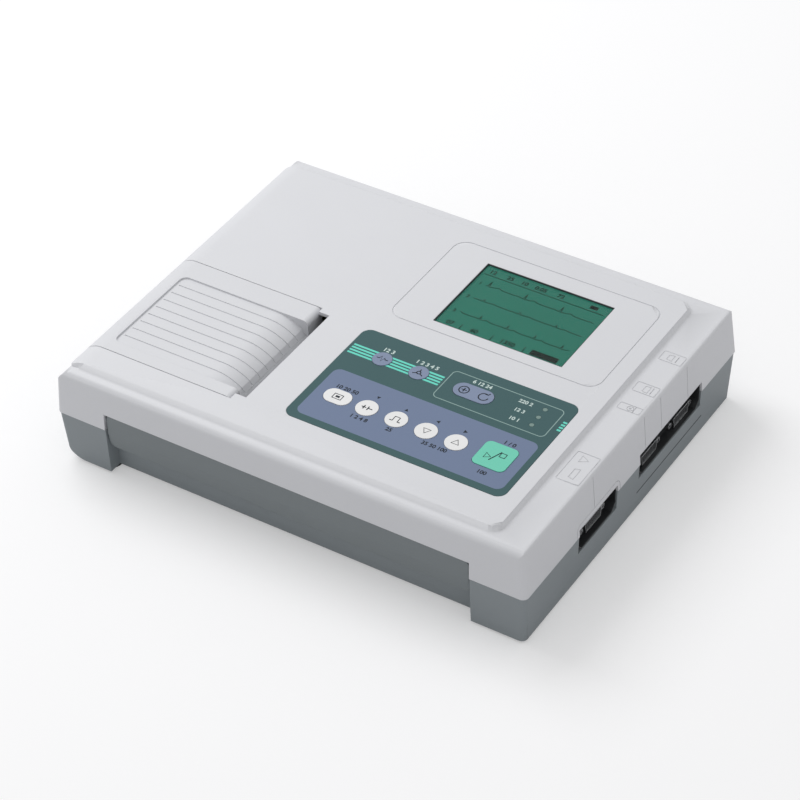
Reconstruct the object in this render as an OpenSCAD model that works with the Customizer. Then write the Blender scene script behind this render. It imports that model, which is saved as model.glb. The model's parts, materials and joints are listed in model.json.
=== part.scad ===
/* [Case] */
// Width of the case along its front
case_w = 420; // [404:1:440]
// Depth of the case from front to back
case_d = 330; // [322:1:345]
// Height of the raised deck above the table
deck_z = 93; // [92:0.5:98]
// Height of the step round the raised deck
deck_step = 4; // [2:0.5:5]
// Height of the parting line between the two shells
seam_z = 46; // [44:0.5:48]
// Wall thickness of both shells
wall = 3; // [2:0.1:3.5]
// Radius of the upright corners
corner_r = 5; // [3.5:0.5:8]
// Radius of the front and back top edges
edge_r = 6; // [4:0.5:8]
// Radius of the rounded left shoulder
shoulder_r = 20; // [18:0.5:24]
// Radius of the lower left edge of the base
keel_r = 20; // [10:1:24]
// Height of the rubber feet below the base
foot_h = 2; // [1:0.5:3]
// Gap left round pieces that are dropped into a seat
gap = 0.3; // [0.2:0.05:0.4]
// Running clearance of a shaft in its bearing, on the radius
run = 0.05; // [0.02:0.01:0.1]

/* [Carrying handle] */
// Length of the carrying handle
handle_w = 328; // [300:1:340]
// Height of the handle's face
handle_h = 32.6; // [26:0.2:34]
// Thickness of the handle bar
handle_t = 11.5; // [9:0.5:14]
// How far the handle slides out
handle_travel = 26; // [15:1:27]

/* [Screen] */
// Width of the screen window
screen_w = 116; // [100:1:118]
// Depth of the screen window
screen_d = 85; // [75:1:88]
// Width of the graphic display module
lcd_w = 160; // [150:1:164]
// Depth of the graphic display module
lcd_d = 104; // [98:1:108]

/* [Keypad] */
// Width of the printed keypad sheet
pad_w = 193; // [188:1:196]
// Depth of the printed keypad sheet
pad_d = 119; // [115:1:122]
// Thickness of the printed keypad sheet
pad_t = 0.6; // [0.4:0.1:0.8]
// Travel of each key
key_travel = 0.5; // [0.3:0.1:0.6]
// Diameter of the round keys
key_d = 18; // [15:0.5:19]
// Distance between neighbouring keys
key_pitch = 26.3; // [24:0.1:27]
// Width and depth of the start key
start_s = 28; // [24:0.5:30]

/* [Printer] */
// Width of the paper door from front to back
door_d = 127.5; // [126:0.5:129]
// Length of the paper door from the left side
door_w = 141.5; // [140:0.5:143]
// Width of the paper
paper_w = 80; // [60:1:82]
// Radius of a full paper roll
roll_r = 24; // [18:0.5:25]
// Radius of the rubber platen
platen_r = 7.5; // [6.5:0.1:8]
// Diameter of the platen shaft
platen_shaft_d = 5; // [4:0.1:5.5]
// Diameter of the door's hinge pin
hinge_pin_d = 3; // [2.5:0.1:3.4]
// Tooth module of the paper drive
gear_m = 0.8; // [0.7:0.05:0.8]
// Teeth on the platen gear
platen_teeth = 20; // [18:1:20]
// Teeth on the idler gear
idler_teeth = 30; // [26:1:30]
// Teeth on the motor pinion
pinion_teeth = 12; // [11:1:14]

/* [Sockets] */
// Distance between the two jack screws of a socket
jack_pitch = 33.3; // [33.3]
// Depth of the socket pockets into the right side
pocket_depth = 14; // [12:0.5:16]

/* [Hidden] */
$fn = 48;
tiny = 0.01;

hx = case_w / 2;
hy = case_d / 2;
rim_z = deck_z - deck_step;
base_z = foot_h;
floor_z = base_z + wall;
base_in = 0.6;
draft = 1.8;

// raised deck
deck_x0 = -hx + 6;
deck_x1 = hx - 28.5;
deck_y0 = -hy + 12.5;
deck_y1 = hy - 16;
deck_r = 8;
skirt = 2.5;
rim_r = shoulder_r - 3;
side_r = 3;

// handle and its recess
grip_x = handle_w / 2;
recess_x = grip_x + 1.2;
handle_z1 = seam_z + 15.2;
handle_z0 = handle_z1 - handle_h;
recess_z = handle_z1 + 0.4;
recess_y = -hy + handle_t + 1;
arm_x = grip_x - 16;
arm_w = 16;
arm_t = 4;
hook_t = 1.5;
hook_h = 2;
arm_l = handle_travel + wall + 1 + hook_t + gap;
arm_z = handle_z0 + handle_h / 2;
guide_t = 3;

// screen
screen_x = hx - 136.7;
screen_y = hy - 93;
lcd_z1 = deck_z - wall - 1.4;
lcd_t = 7;
lcd_pcb_z = lcd_z1 - lcd_t - 1.6;
bezel_m = [36, 11];

// keypad
pad_x1 = deck_x1 - 13.1;
pad_x0 = pad_x1 - pad_w;
pad_y0 = deck_y0 + 28.9;
pad_y1 = pad_y0 + pad_d;
pad_r = 8;
pad_z = deck_z - 0.4;
key_row_y = pad_y0 + 36.5;
oval_x = pad_x0 + 26.6;
key_x = [for (i = [0:3]) oval_x + key_pitch * (i + 1)];
start_x = pad_x1 - 27.8;
start_y = pad_y0 + 37.6;
small_key_y = pad_y1 - 27.1;
small_key_x = [pad_x0 + 31.6, pad_x0 + 64.8];
double_x = pad_x0 + 113.7;
key_top = pad_z + pad_t + 0.4;
key_t = 1.2;
key_gap = 0.25;
pocket_z = key_top - key_t - key_travel - 0.2;
stem_d = 6;
stem_z = deck_z - wall - 2.4;
board_z = stem_z - key_travel - 0.25 - 4.3;
led_y = [for (i = [0:2]) pad_y1 - 16.1 - 10.2 * i];
led_x = pad_x1 - 22.7;

// printer bay, all measured from the left side and the front
bay_y0 = -hy + 36;
bay_y1 = bay_y0 + door_d;
bay_mid = (bay_y0 + bay_y1) / 2;
door_x = -hx + door_w;
slot_x = door_x + 10.2;
slot_in = 6.5;
door_t = 2.6;
cover_y0 = bay_y0 + 12;
cover_y1 = bay_y1 - 20.5;
cover_sink = 1.4;
cover_x0 = -hx + 22;
fall_x = -hx + 111;
fall_r = 41;
groove_pitch = 10.5;

hinge_x = -hx + 4.2;
hinge_z = deck_z - 21;
knuckle_r = 4.2;
knuckle_in = [0, 18, 55, 72.5, 109.5, door_d];

platen_x = door_x - 9;
platen_z = deck_z - 25;
nip_x = platen_x + platen_r;
platen_y0 = bay_mid - paper_w / 2 - 3;
platen_y1 = bay_mid + paper_w / 2 + 3;
ear_t = 3;
ear_r = 6;
cheek_t = 2;
cheek_y0 = bay_y0 + 9;
cheek_y1 = bay_y1 - 9;
bush_r = 5;

platen_rp = gear_m * platen_teeth / 2;
idler_rp = gear_m * idler_teeth / 2;
pinion_rp = gear_m * pinion_teeth / 2;
gear_w = 4;
gear_y0 = cheek_y0 - 1 - gear_w;
idler_x = platen_x;
idler_z = platen_z - platen_rp - idler_rp;
pinion_a = 220;
pinion_x = idler_x + (idler_rp + pinion_rp) * cos(pinion_a);
pinion_z = idler_z + (idler_rp + pinion_rp) * sin(pinion_a);
idler_phase = 90 + 180 / idler_teeth;
idler_turn = (pinion_a - idler_phase) * idler_teeth / 360;
pinion_phase = pinion_a + 180 - (0.5 - (idler_turn - floor(idler_turn))) * 360 / pinion_teeth;
motor_r = 17.5;
motor_l = 21;

frame_x0 = -hx + 24;
frame_x1 = slot_x + 4;
frame_z0 = floor_z + 8;
frame_t = 2;
roll_x = -hx + 60;
roll_z = frame_z0 + frame_t + 2 + 25;
core_r = 8.6;
spindle_r = 6;
journal_r = 3;

// sockets on the right side
panel_x = hx - pocket_depth;
panel_t = 2;
patient_y = -hy + 108.5;
port_y = [hy - 133, hy - 81];
socket_z = seam_z - 8;
pocket_a = [patient_y - 29.5, patient_y + 29.5];
pocket_b = [port_y[0] - 24, port_y[1] + 30];
pocket_z0 = socket_z - 16;
pocket_z1 = seam_z + 6;
flange_w = 39.2;
flange_h = 12.5;
flange_t = 1;

tiles = [[patient_y - 23.5, patient_y + 11.5], [port_y[0] - 19, port_y[0] - 11], [port_y[0] + 5, port_y[0] + 17],
  [port_y[1] - 4, port_y[1] + 8]];

// back panel
inlet_x = -hx + 65;
inlet_z = 26;
inlet_w = 27;
inlet_h = 20;
trim_in = 0.4;
trim_t = 1.6;
trim_w = 40;
trim_h = 24;
switch_x = inlet_x + 48;
switch_w = 19;
switch_h = 13;
rocker_y = hy - 7;
rocker_tilt = 8;
earth_x = switch_x + 34;

// case screws
boss_x = hx - 17;
boss_y = hy - 17;
boss_r = 5;

// battery bay in the base
bat_x0 = -34;
bat_y0 = hy - 108;
bat_w = 98;
bat_d = 84;
bat_h = 34;

// boards
main_x0 = -36;
main_x1 = hx - 34;
main_y0 = -hy + 38;
main_y1 = hy - 118;
main_z = floor_z + 7;
pcb_t = 1.6;
psu_x0 = -hx + 14;
psu_x1 = bat_x0 - 14;
psu_y0 = bay_y1 + 22;
psu_y1 = hy - 30;

// box between two opposite corners
module blk(a, b) {
  translate(a) cube(b - a);
}

// flat outline with four round corners
module soft_rect(a, b, r) {
  translate([a.x + r, a.y]) square([b.x - a.x - 2 * r, b.y - a.y]);
  translate([a.x, a.y + r]) square([b.x - a.x, b.y - a.y - 2 * r]);
  for (x = [a.x + r, b.x - r], y = [a.y + r, b.y - r]) translate([x, y]) circle(r);
}

// upright slab with round corners
module slab(a, b, r) {
  translate([0, 0, a.z]) linear_extrude(b.z - a.z) soft_rect([a.x, a.y], [b.x, b.y], r);
}

// side outline (x, z) drawn out along Y, and end outline (y, z) drawn out along X
module along_y(y0, y1) {
  translate([0, y1, 0]) rotate([90, 0, 0]) linear_extrude(y1 - y0) children();
}
module along_x(x0, x1) {
  translate([x0, 0, 0]) rotate([90, 0, 90]) linear_extrude(x1 - x0) children();
}

module rod_y(x, z, y0, y1, r) {
  translate([x, y0, z]) rotate([-90, 0, 0]) cylinder(h = y1 - y0, r = r);
}
module rod_x(y, z, x0, x1, r) {
  translate([x0, y, z]) rotate([0, 90, 0]) cylinder(h = x1 - x0, r = r);
}
module post(x, y, z0, z1, r) {
  translate([x, y, z0]) cylinder(h = z1 - z0, r = r);
}

// toothed outline with one tooth centred on the angle "phase"
module gear_outline(teeth, phase) {
  rp = gear_m * teeth / 2;
  pitch = 360 / teeth;
  polygon([for (i = [0:teeth - 1], k = [0:3])
    let (a = phase + i * pitch + [-0.31, -0.09, 0.09, 0.31][k] * pitch,
         r = rp + (k == 0 || k == 3 ? -1.2 : 0.9) * gear_m)
    [r * cos(a), r * sin(a)]]);
}

// ---------- shells ----------

// side outline of the rim, drawn in by t
module rim_side(t) {
  translate([-hx + t, seam_z]) square([2 * hx - 2 * t, rim_z - rim_r - seam_z]);
  translate([-hx + rim_r, seam_z]) square([2 * hx - rim_r - t, rim_z - max(side_r, t) - seam_z]);
  translate([-hx + rim_r, seam_z]) square([2 * hx - rim_r - max(side_r, t), rim_z - t - seam_z]);
  translate([-hx + rim_r, rim_z - rim_r]) circle(rim_r - t);
  if (side_r > t) translate([hx - side_r, rim_z - side_r]) circle(side_r - t);
}

// end outline of the rim, drawn in by t
module rim_end(t) {
  translate([-hy + t, seam_z]) square([2 * hy - 2 * t, rim_z - edge_r - seam_z]);
  translate([-hy + edge_r, seam_z]) square([2 * hy - 2 * edge_r, rim_z - t - seam_z]);
  for (y = [-1, 1]) translate([y * (hy - edge_r), rim_z - edge_r]) circle(edge_r - t);
}

// side outline of the raised deck, drawn in by t
module deck_side(t) {
  translate([-hx + shoulder_r, seam_z]) square([2 * hx - shoulder_r, deck_z - t - seam_z]);
  translate([-hx + t, seam_z]) square([shoulder_r - t + tiny, deck_z - shoulder_r - seam_z]);
  translate([-hx + shoulder_r, deck_z - shoulder_r]) circle(shoulder_r - t);
}

module rim_body(t) {
  intersection() {
    slab([-hx + t, -hy + t, seam_z], [hx - t, hy - t, rim_z], max(corner_r - t, 1));
    along_y(-hy, hy) rim_side(t);
    along_x(-hx, hx) rim_end(t);
  }
}

module deck_body() {
  intersection() {
    hull() {
      slab([deck_x0 - skirt, deck_y0 - skirt, rim_z - 8], [deck_x1 + skirt, deck_y1 + skirt, rim_z],
        deck_r + skirt);
      slab([deck_x0, deck_y0, deck_z - tiny], [deck_x1, deck_y1, deck_z], deck_r);
    }
    along_y(-hy, hy) deck_side(0);
  }
}

module deck_hollow() {
  intersection() {
    slab([deck_x0 + wall, deck_y0 + wall, seam_z + 20], [deck_x1 - wall, deck_y1 - wall, deck_z],
      deck_r - wall);
    along_y(-hy, hy) deck_side(wall);
  }
}

// the opening for the paper door, its hinge line and the paper slot
module bay_cut() {
  slot_y0 = bay_y0 + slot_in;
  slot_y1 = bay_y1 - slot_in + 1.5;
  blk([-hx - 1, bay_y0 - gap, hinge_z + knuckle_r + gap], [door_x + gap, bay_y1 + gap, deck_z + 1]);
  blk([-hx - 1, bay_y0 - gap, hinge_z], [hinge_x + knuckle_r + gap, bay_y1 + gap, deck_z]);
  blk([door_x, slot_y0, seam_z], [slot_x, slot_y1, deck_z + 1]);
  for (i = [0, 1])
    blk([-hx - 1, bay_y0 + knuckle_in[2 * i + 1], hinge_z - knuckle_r - gap],
      [hinge_x + knuckle_r + gap, bay_y0 + knuckle_in[2 * i + 2], deck_z]);
}

module case_knuckle(y0, y1) {
  rod_y(hinge_x, hinge_z, y0, y1, knuckle_r);
  blk([-hx, y0, hinge_z - 14], [-hx + wall, y1, hinge_z]);
}

module key_wells() {
  well = key_gap + 0.2;
  for (x = key_x) post(x, key_row_y, pocket_z, deck_z, key_d / 2 + well);
  for (x = small_key_x) post(x, small_key_y, pocket_z, deck_z, 8 + well);
  slab([oval_x - 11.5 - well, key_row_y - 8 - well, pocket_z],
    [oval_x + 11.5 + well, key_row_y + 8 + well, deck_z], 7.5);
  slab([double_x - 17 - well, small_key_y - 8 - well, pocket_z],
    [double_x + 17 + well, small_key_y + 8 + well, deck_z], 7.9);
  slab([start_x - start_s / 2 - well, start_y - start_s / 2 - well, pocket_z],
    [start_x + start_s / 2 + well, start_y + start_s / 2 + well, deck_z], 5);
}

// centres of the keys' plungers
stems = concat([for (x = key_x) [x, key_row_y]], [for (x = small_key_x) [x, small_key_y]],
  [[oval_x, key_row_y], [double_x, small_key_y], [start_x, start_y]]);

// shallow groove round an outline
module engraved(a, b, r, w, depth, z) {
  difference() {
    slab([a.x, a.y, z - depth], [b.x, b.y, z + 1], r);
    slab([a.x + w, a.y + w, z - depth - 1], [b.x - w, b.y - w, z + 2], r - w);
  }
}

module socket_hood(y) {
  blk([panel_x - panel_t, y[0] - panel_t, seam_z], [hx - wall + tiny, y[1] + panel_t, pocket_z1 + panel_t]);
}

module upper_case() {
  color("#dadbe0") difference() {
    union() {
      difference() {
        union() {
          rim_body(0);
          deck_body();
        }
        rim_body(wall);
        deck_hollow();
        translate([0, 0, seam_z - 1]) slab([-hx + wall, -hy + wall, 0], [hx - wall, hy - wall, 2], 2);
        bay_cut();
      }
      for (y = [pocket_a, pocket_b]) socket_hood(y);
      for (x = [-boss_x, boss_x], y = [-boss_y, boss_y]) post(x, y, seam_z + gap, rim_z - wall + tiny, boss_r);
      for (b = lcd_bosses) post(b.x, b.y, lcd_pcb_z + pcb_t, deck_z - wall + tiny, 3);
      for (b = pad_bosses) post(b.x, b.y, board_z + pcb_t, deck_z - wall + tiny, 3);
      for (i = [0:2]) case_knuckle(bay_y0 + knuckle_in[2 * i] - (i == 0 ? gap : 0),
        bay_y0 + knuckle_in[2 * i + 1] + (i == 2 ? gap : 0));
    }
    for (y = [pocket_a, pocket_b])
      slab([panel_x, y[0], seam_z - 1], [hx + 20, y[1], pocket_z1], 4);
    blk([-recess_x, -hy - 1, seam_z - 1], [recess_x, -hy + wall + 1, recess_z]);
    for (x = [-boss_x, boss_x], y = [-boss_y, boss_y]) post(x, y, seam_z - 1, seam_z + 30, 1.6);
    for (b = concat(lcd_bosses, pad_bosses)) post(b.x, b.y, lcd_pcb_z, deck_z - wall - 1, 1.1);
    // outlines moulded into the rim beside the sockets, each with a line down to its socket
    for (t = tiles) {
      engraved([hx - 22, t[0]], [hx - 2.5, t[1]], 1.5, 0.5, 0.3, rim_z);
      blk([hx - 0.3, (t[0] + t[1]) / 2 - 0.3, pocket_z1 + 4], [hx + 1, (t[0] + t[1]) / 2 + 0.3, rim_z - side_r]);
    }
    along_x(hx - 0.5, hx + 1) difference() {
      soft_rect([pocket_a[0] - 3.5, seam_z - 20], [pocket_a[1] + 3.5, pocket_z1 + 5], 6);
      soft_rect([pocket_a[0] - 2.8, seam_z - 19], [pocket_a[1] + 2.8, pocket_z1 + 4.3], 5.3);
    }
    blk([screen_x - screen_w / 2, screen_y - screen_d / 2, deck_z - 2 * wall],
      [screen_x + screen_w / 2, screen_y + screen_d / 2, deck_z + 1]);
    engraved([screen_x - screen_w / 2 - bezel_m.x, screen_y - screen_d / 2 - bezel_m.y],
      [screen_x + screen_w / 2 + bezel_m.x, screen_y + screen_d / 2 + bezel_m.y + 6], 12, 0.7, 0.4, deck_z);
    slab([pad_x0 - 0.2, pad_y0 - 0.2, pad_z], [pad_x1 + 0.2, pad_y1 + 0.2, deck_z + 1], pad_r + 0.2);
    key_wells();
    for (s = stems) post(s.x, s.y, deck_z - wall - 1, deck_z, stem_d / 2 + 0.3);
    for (y = led_y) post(led_x, y, deck_z - wall - 1, deck_z, 2.3);
    rod_y(hinge_x, hinge_z, bay_y0 - 3, bay_y1 + 3, hinge_pin_d / 2 + run);
  }
}

// outline of the base in side view: large round edge at the lower left
module base_side() {
  translate([-hx + keel_r, base_z]) square([2 * hx - keel_r - 3, seam_z + 20]);
  translate([-hx, base_z + keel_r]) square([2 * hx, seam_z + 20]);
  translate([-hx + keel_r, base_z + keel_r]) circle(keel_r);
  translate([hx - 3, base_z + 3]) circle(3);
  translate([hx - 4, base_z + 3]) square([4, seam_z]);
}

module base_body(t) {
  z0 = base_z + (t > 0 ? t : 0);
  hull() {
    slab([-hx + draft + t, -hy + draft + t, z0], [hx - draft - t, hy - draft - t, z0 + tiny],
      max(corner_r - t, 1));
    slab([-hx + base_in + t, -hy + base_in + t, seam_z - tiny], [hx - base_in - t, hy - base_in - t, seam_z],
      max(corner_r - t, 1));
  }
}

module socket_pocket(y) {
  blk([panel_x - panel_t, y[0] - panel_t, pocket_z0 - panel_t], [hx - wall, y[1] + panel_t, seam_z]);
}

// D-shaped outline of a 15-way socket, (y, z), grown by g
module d_outline(g) {
  h = 4.2 + g;
  top = 12.4 + g;
  low = 10.9 + g;
  polygon([[-low, -h], [low, -h], [top, h], [-top, h]]);
}

module lower_case() {
  color("#646c70") difference() {
    union() {
      intersection() {
        difference() {
          base_body(0);
          base_body(wall);
        }
        along_y(-hy, hy) base_side();
      }
      intersection() {
        blk([-hx + wall, -hy + wall, base_z], [-hx + keel_r, hy - wall, base_z + keel_r]);
        difference() {
          along_y(-hy + wall, hy - wall) base_side();
          translate([0, 0, tiny]) rod_y(-hx + keel_r + 1, base_z + keel_r, -hy, hy, keel_r - wall - 0.5);
        }
      }
      // the recess behind the handle, with its roof
      blk([-recess_x - wall, recess_y, base_z], [recess_x + wall, recess_y + wall, recess_z + wall]);
      blk([-recess_x - wall, -hy + wall + gap, recess_z], [recess_x + wall, recess_y + wall, recess_z + wall]);
      for (x = [-recess_x - wall, recess_x])
        blk([x, -hy + wall + gap, base_z + 1], [x + wall, recess_y + wall, recess_z + wall]);
      for (y = [pocket_a, pocket_b]) socket_pocket(y);
      for (x = [-boss_x, boss_x], y = [-boss_y, boss_y]) post(x, y, base_z + 1, seam_z, boss_r + 1);
      // battery bay
      slab([bat_x0 - 3, bat_y0 - 3, base_z], [bat_x0 + bat_w + 3, bat_y0 + bat_d + 3, floor_z + bat_h + 3], 3);
      // standoffs of the boards and the printer frame
      for (x = [main_x0 + 6, main_x1 - 6], y = [main_y0 + 6, main_y1 - 6]) post(x, y, base_z + 1, main_z, 3.5);
      for (x = [psu_x0 + 8, psu_x1 - 6], y = [psu_y0 + 6, psu_y1 - 6]) post(x, y, base_z + 1, main_z, 3.5);
      for (x = [frame_x0 + 10, frame_x1 - 6], y = [cheek_y0 + 12, cheek_y1 - 12])
        post(x, y, base_z + 1, frame_z0, 4);
    }
    // room in front of the handle recess
    blk([-recess_x, -hy - 1, 0], [recess_x, recess_y, recess_z]);
    for (y = [pocket_a, pocket_b])
      slab([panel_x, y[0], pocket_z0], [hx + 20, y[1], seam_z + 1], 4);
    // slots for the arms of the handle
    for (s = [-1, 1])
      blk([s * arm_x - arm_w / 2 - gap, recess_y - 1, arm_z - arm_t / 2 - gap],
        [s * arm_x + arm_w / 2 + gap, recess_y + wall + 1, arm_z + arm_t / 2 + gap]);
    for (y = concat([patient_y], port_y)) {
      along_x(panel_x - 5, panel_x + 1) translate([y, socket_z]) d_outline(1.2);
      for (s = [-1, 1]) rod_x(y + s * jack_pitch / 2, socket_z, panel_x - 5, panel_x + 1, 1.6);
    }
    for (x = [-boss_x, boss_x], y = [-boss_y, boss_y]) {
      post(x, y, 0, seam_z + 1, 2.2);
      post(x, y, -1, seam_z - 16, 4.3);
    }
    // battery bay and the seat of its cover
    blk([bat_x0, bat_y0, base_z - 1], [bat_x0 + bat_w, bat_y0 + bat_d, floor_z + bat_h]);
    slab([bat_x0 - 2, bat_y0 - 2, base_z - 1], [bat_x0 + bat_w + 2, bat_y0 + bat_d + 2, base_z + 2.4], 2);
    // mains inlet, switch and earth post through the back wall
    blk([inlet_x - inlet_w / 2 - gap, hy - wall - 4, inlet_z - inlet_h / 2 - gap],
      [inlet_x + inlet_w / 2 + gap, hy + 1, inlet_z + inlet_h / 2 + gap]);
    along_y(hy - trim_in - trim_t - gap, hy + 1) soft_rect([inlet_x - trim_w / 2 - gap, inlet_z - trim_h / 2 - gap],
      [inlet_x + trim_w / 2 + gap, inlet_z + trim_h / 2 + gap], 3);
    blk([switch_x - switch_w / 2 - gap, hy - wall - 4, inlet_z - switch_h / 2 - gap],
      [switch_x + switch_w / 2 + gap, hy + 1, inlet_z + switch_h / 2 + gap]);
    along_y(hy - trim_in - trim_t - gap, hy + 1)
      soft_rect([switch_x - switch_w / 2 - 1.6 - gap, inlet_z - switch_h / 2 - 1.6 - gap],
        [switch_x + switch_w / 2 + 1.6 + gap, inlet_z + switch_h / 2 + 1.6 + gap], 1.5);
    rod_y(earth_x, inlet_z, hy - wall - 4, hy + 1, 3.2);
    // cooling slots in the left side and the back
    for (i = [0:8]) blk([-hx - 1, 40 + i * 9, base_z + 26], [-hx + wall + 2, 43.5 + i * 9, seam_z - 6]);
    for (i = [0:10]) blk([20 + i * 9, hy - wall - 2, base_z + 12], [23.5 + i * 9, hy + 1, seam_z - 10]);
  }
}

module rubber_feet() {
  color("#2f3234") for (x = [-1, 1], y = [-1, 1])
    post(x * (hx - 36), y * (hy - 13.5) , 0, base_z, 9);
}

module case_screws() {
  color("silver") for (x = [-boss_x, boss_x], y = [-boss_y, boss_y]) difference() {
    union() {
      post(x, y, seam_z - 18.5, seam_z - 16, 3.8);
      post(x, y, seam_z - 16 - tiny, seam_z + 12, 1.55);
    }
    translate([x - 3, y - 0.5, seam_z - 19]) cube([6, 1, 1.6]);
    translate([x - 0.5, y - 3, seam_z - 19]) cube([1, 6, 1.6]);
  }
}

// ---------- carrying handle ----------

module carry_handle() {
  color("#6c7478") {
    difference() {
      intersection() {
        along_y(-hy + 0.4, -hy + handle_t) soft_rect([-grip_x, handle_z0], [grip_x, handle_z1], 5);
        // the face leans back a little towards the bottom
        along_x(-grip_x, grip_x) polygon([[-hy + 2.6, handle_z0], [-hy + handle_t, handle_z0],
          [-hy + handle_t, handle_z1], [-hy + 0.6, handle_z1], [-hy + 0.6, handle_z0 + 14]]);
      }
      // finger scoop along the lower back edge
      along_x(-grip_x + 40, grip_x - 40) translate([-hy + handle_t + 3, handle_z0 + 3]) circle(8);
    }
    for (s = [-1, 1]) {
      blk([s * arm_x - arm_w / 2, -hy + handle_t - tiny, arm_z - arm_t / 2],
        [s * arm_x + arm_w / 2, -hy + handle_t + arm_l, arm_z + arm_t / 2]);
      // hook that stops the arm at the end of its slide
      blk([s * arm_x - arm_w / 2, -hy + handle_t + arm_l - hook_t, arm_z - arm_t / 2],
        [s * arm_x + arm_w / 2, -hy + handle_t + arm_l, arm_z + arm_t / 2 + hook_h]);
    }
  }
}

module handle_guides() {
  color("#d0d2d4") for (s = [-1, 1]) difference() {
    blk([s * arm_x - arm_w / 2 - guide_t - gap, recess_y + wall + gap, base_z + wall + gap],
      [s * arm_x + arm_w / 2 + guide_t + gap, recess_y + wall + gap + 12, arm_z + arm_t / 2 + gap + 8]);
    blk([s * arm_x - arm_w / 2 - gap, recess_y, arm_z - arm_t / 2 - gap],
      [s * arm_x + arm_w / 2 + gap, recess_y + 40, arm_z + arm_t / 2 + hook_h + 2 * gap]);
  }
}

// ---------- paper door and paper drive ----------

// outline (x, z) of the ribbed cover surface: level, then falling in an arc to the slot
module cover_side(lift) {
  top = deck_z - cover_sink + lift;
  r = fall_r + lift;
  end_x = door_x - 6;
  end_z = deck_z - cover_sink - fall_r + sqrt(r * r - pow(end_x - fall_x, 2));
  translate([-hx - 5, seam_z]) square([fall_x + hx + 5, top - seam_z]);
  intersection() {
    translate([fall_x, deck_z - cover_sink - fall_r]) circle(r);
    translate([fall_x - tiny, seam_z]) square([end_x - fall_x, 60]);
  }
  polygon([[end_x - 1, seam_z], [end_x - 1, end_z + 0.6], [end_x, end_z], [door_x, end_z - 7.5],
    [door_x, seam_z]]);
}

// outline (x, z) of the plain flanges beside it
module flange_side(t) {
  r = 5;
  intersection() {
    deck_side(t);
    union() {
      translate([-hx, seam_z]) square([door_x - t + hx, deck_z - r - seam_z]);
      translate([-hx, seam_z]) square([door_x - r + hx, 60]);
      translate([door_x - r, deck_z - r]) circle(r - t);
    }
  }
}

module door_shell(t) {
  difference() {
    along_y(bay_y0 + gap + t, bay_y1 - gap - t) flange_side(t);
    difference() {
      slab([cover_x0 + t, cover_y0 - t, seam_z - 10], [door_x + 5, cover_y1 + t, deck_z + 10], 6);
      along_y(bay_y0 - 5, bay_y1 + 5) cover_side(-t);
    }
    blk([-hx - 1, bay_y0 - 1, seam_z - 1], [door_x + 1, bay_y1 + 1, hinge_z + knuckle_r + 2 * gap]);
  }
}

// ear that carries the platen, trimmed to the cover above it
module platen_ear(y) {
  intersection() {
    along_y(y, y + ear_t) {
      translate([platen_x, platen_z]) circle(ear_r);
      translate([platen_x - ear_r, platen_z]) square([2 * ear_r, deck_z - platen_z]);
      polygon([[platen_x - ear_r, platen_z + 5], [platen_x - ear_r, deck_z], [platen_x - 26, deck_z]]);
    }
    children();
  }
}

module printer_door() {
  grooves = floor((cover_y1 - cover_y0 - 6) / groove_pitch);
  first = (cover_y0 + cover_y1 - (grooves - 1) * groove_pitch) / 2;
  color("#d6d7dc") difference() {
    union() {
      difference() {
        door_shell(0);
        door_shell(door_t);
        blk([-hx + door_t, bay_y0 + gap + door_t, seam_z], [door_x - door_t, bay_y1 - gap - door_t, hinge_z + knuckle_r + 3]);
        for (i = [0:grooves - 1]) difference() {
          blk([cover_x0 + 3, first + i * groove_pitch - 0.5, hinge_z + 8],
            [door_x + 1, first + i * groove_pitch + 0.5, deck_z]);
          along_y(bay_y0, bay_y1) cover_side(-0.45);
        }
      }
      // hinge knuckles and the lip that carries them
      for (i = [0, 1]) {
        y0 = bay_y0 + knuckle_in[2 * i + 1] + gap;
        y1 = bay_y0 + knuckle_in[2 * i + 2] - gap;
        rod_y(hinge_x, hinge_z, y0, y1, knuckle_r);
        blk([-hx, y0, hinge_z], [-hx + 3, y1, hinge_z + knuckle_r + 3]);
      }
      // ears that carry the platen
      platen_ear(cheek_y0 + cheek_t + 1) along_y(-hy, hy) cover_side(-door_t / 2);
      platen_ear(cheek_y1 - cheek_t - 1 - ear_t) along_y(-hy, hy) flange_side(door_t / 2);
    }
    rod_y(hinge_x, hinge_z, bay_y0 - 1, bay_y1 + 1, hinge_pin_d / 2 + run);
    rod_y(platen_x, platen_z, cheek_y0 - 5, cheek_y1 + 5, platen_shaft_d / 2 + run);
  }
}

module hinge_pin() {
  color("silver") rod_y(hinge_x, hinge_z, bay_y0 - 2.5, bay_y1 + 2.5, hinge_pin_d / 2);
}

module platen_bushes() {
  color("#c9a45c") for (y = [cheek_y0 - 0.5, cheek_y1 - cheek_t - 0.7]) difference() {
    rod_y(platen_x, platen_z, y, y + cheek_t + 1.2, bush_r);
    rod_y(platen_x, platen_z, y - 1, y + cheek_t + 3, platen_shaft_d / 2 + run);
  }
}

module platen_shaft() {
  color("silver") rod_y(platen_x, platen_z, gear_y0 - 0.8, cheek_y1 + 1.5, platen_shaft_d / 2);
}

module platen_rubber() {
  color("#34373a") difference() {
    rod_y(platen_x, platen_z, platen_y0, platen_y1, platen_r);
    rod_y(platen_x, platen_z, platen_y0 - 1, platen_y1 + 1, platen_shaft_d / 2 + 0.02);
  }
}

module platen_gear() {
  color("#e8e4d8") difference() {
    translate([platen_x, 0, platen_z]) along_y(gear_y0, gear_y0 + gear_w) gear_outline(platen_teeth, -90);
    rod_y(platen_x, platen_z, gear_y0 - 1, gear_y0 + gear_w + 1, platen_shaft_d / 2 + 0.02);
  }
}

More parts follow.
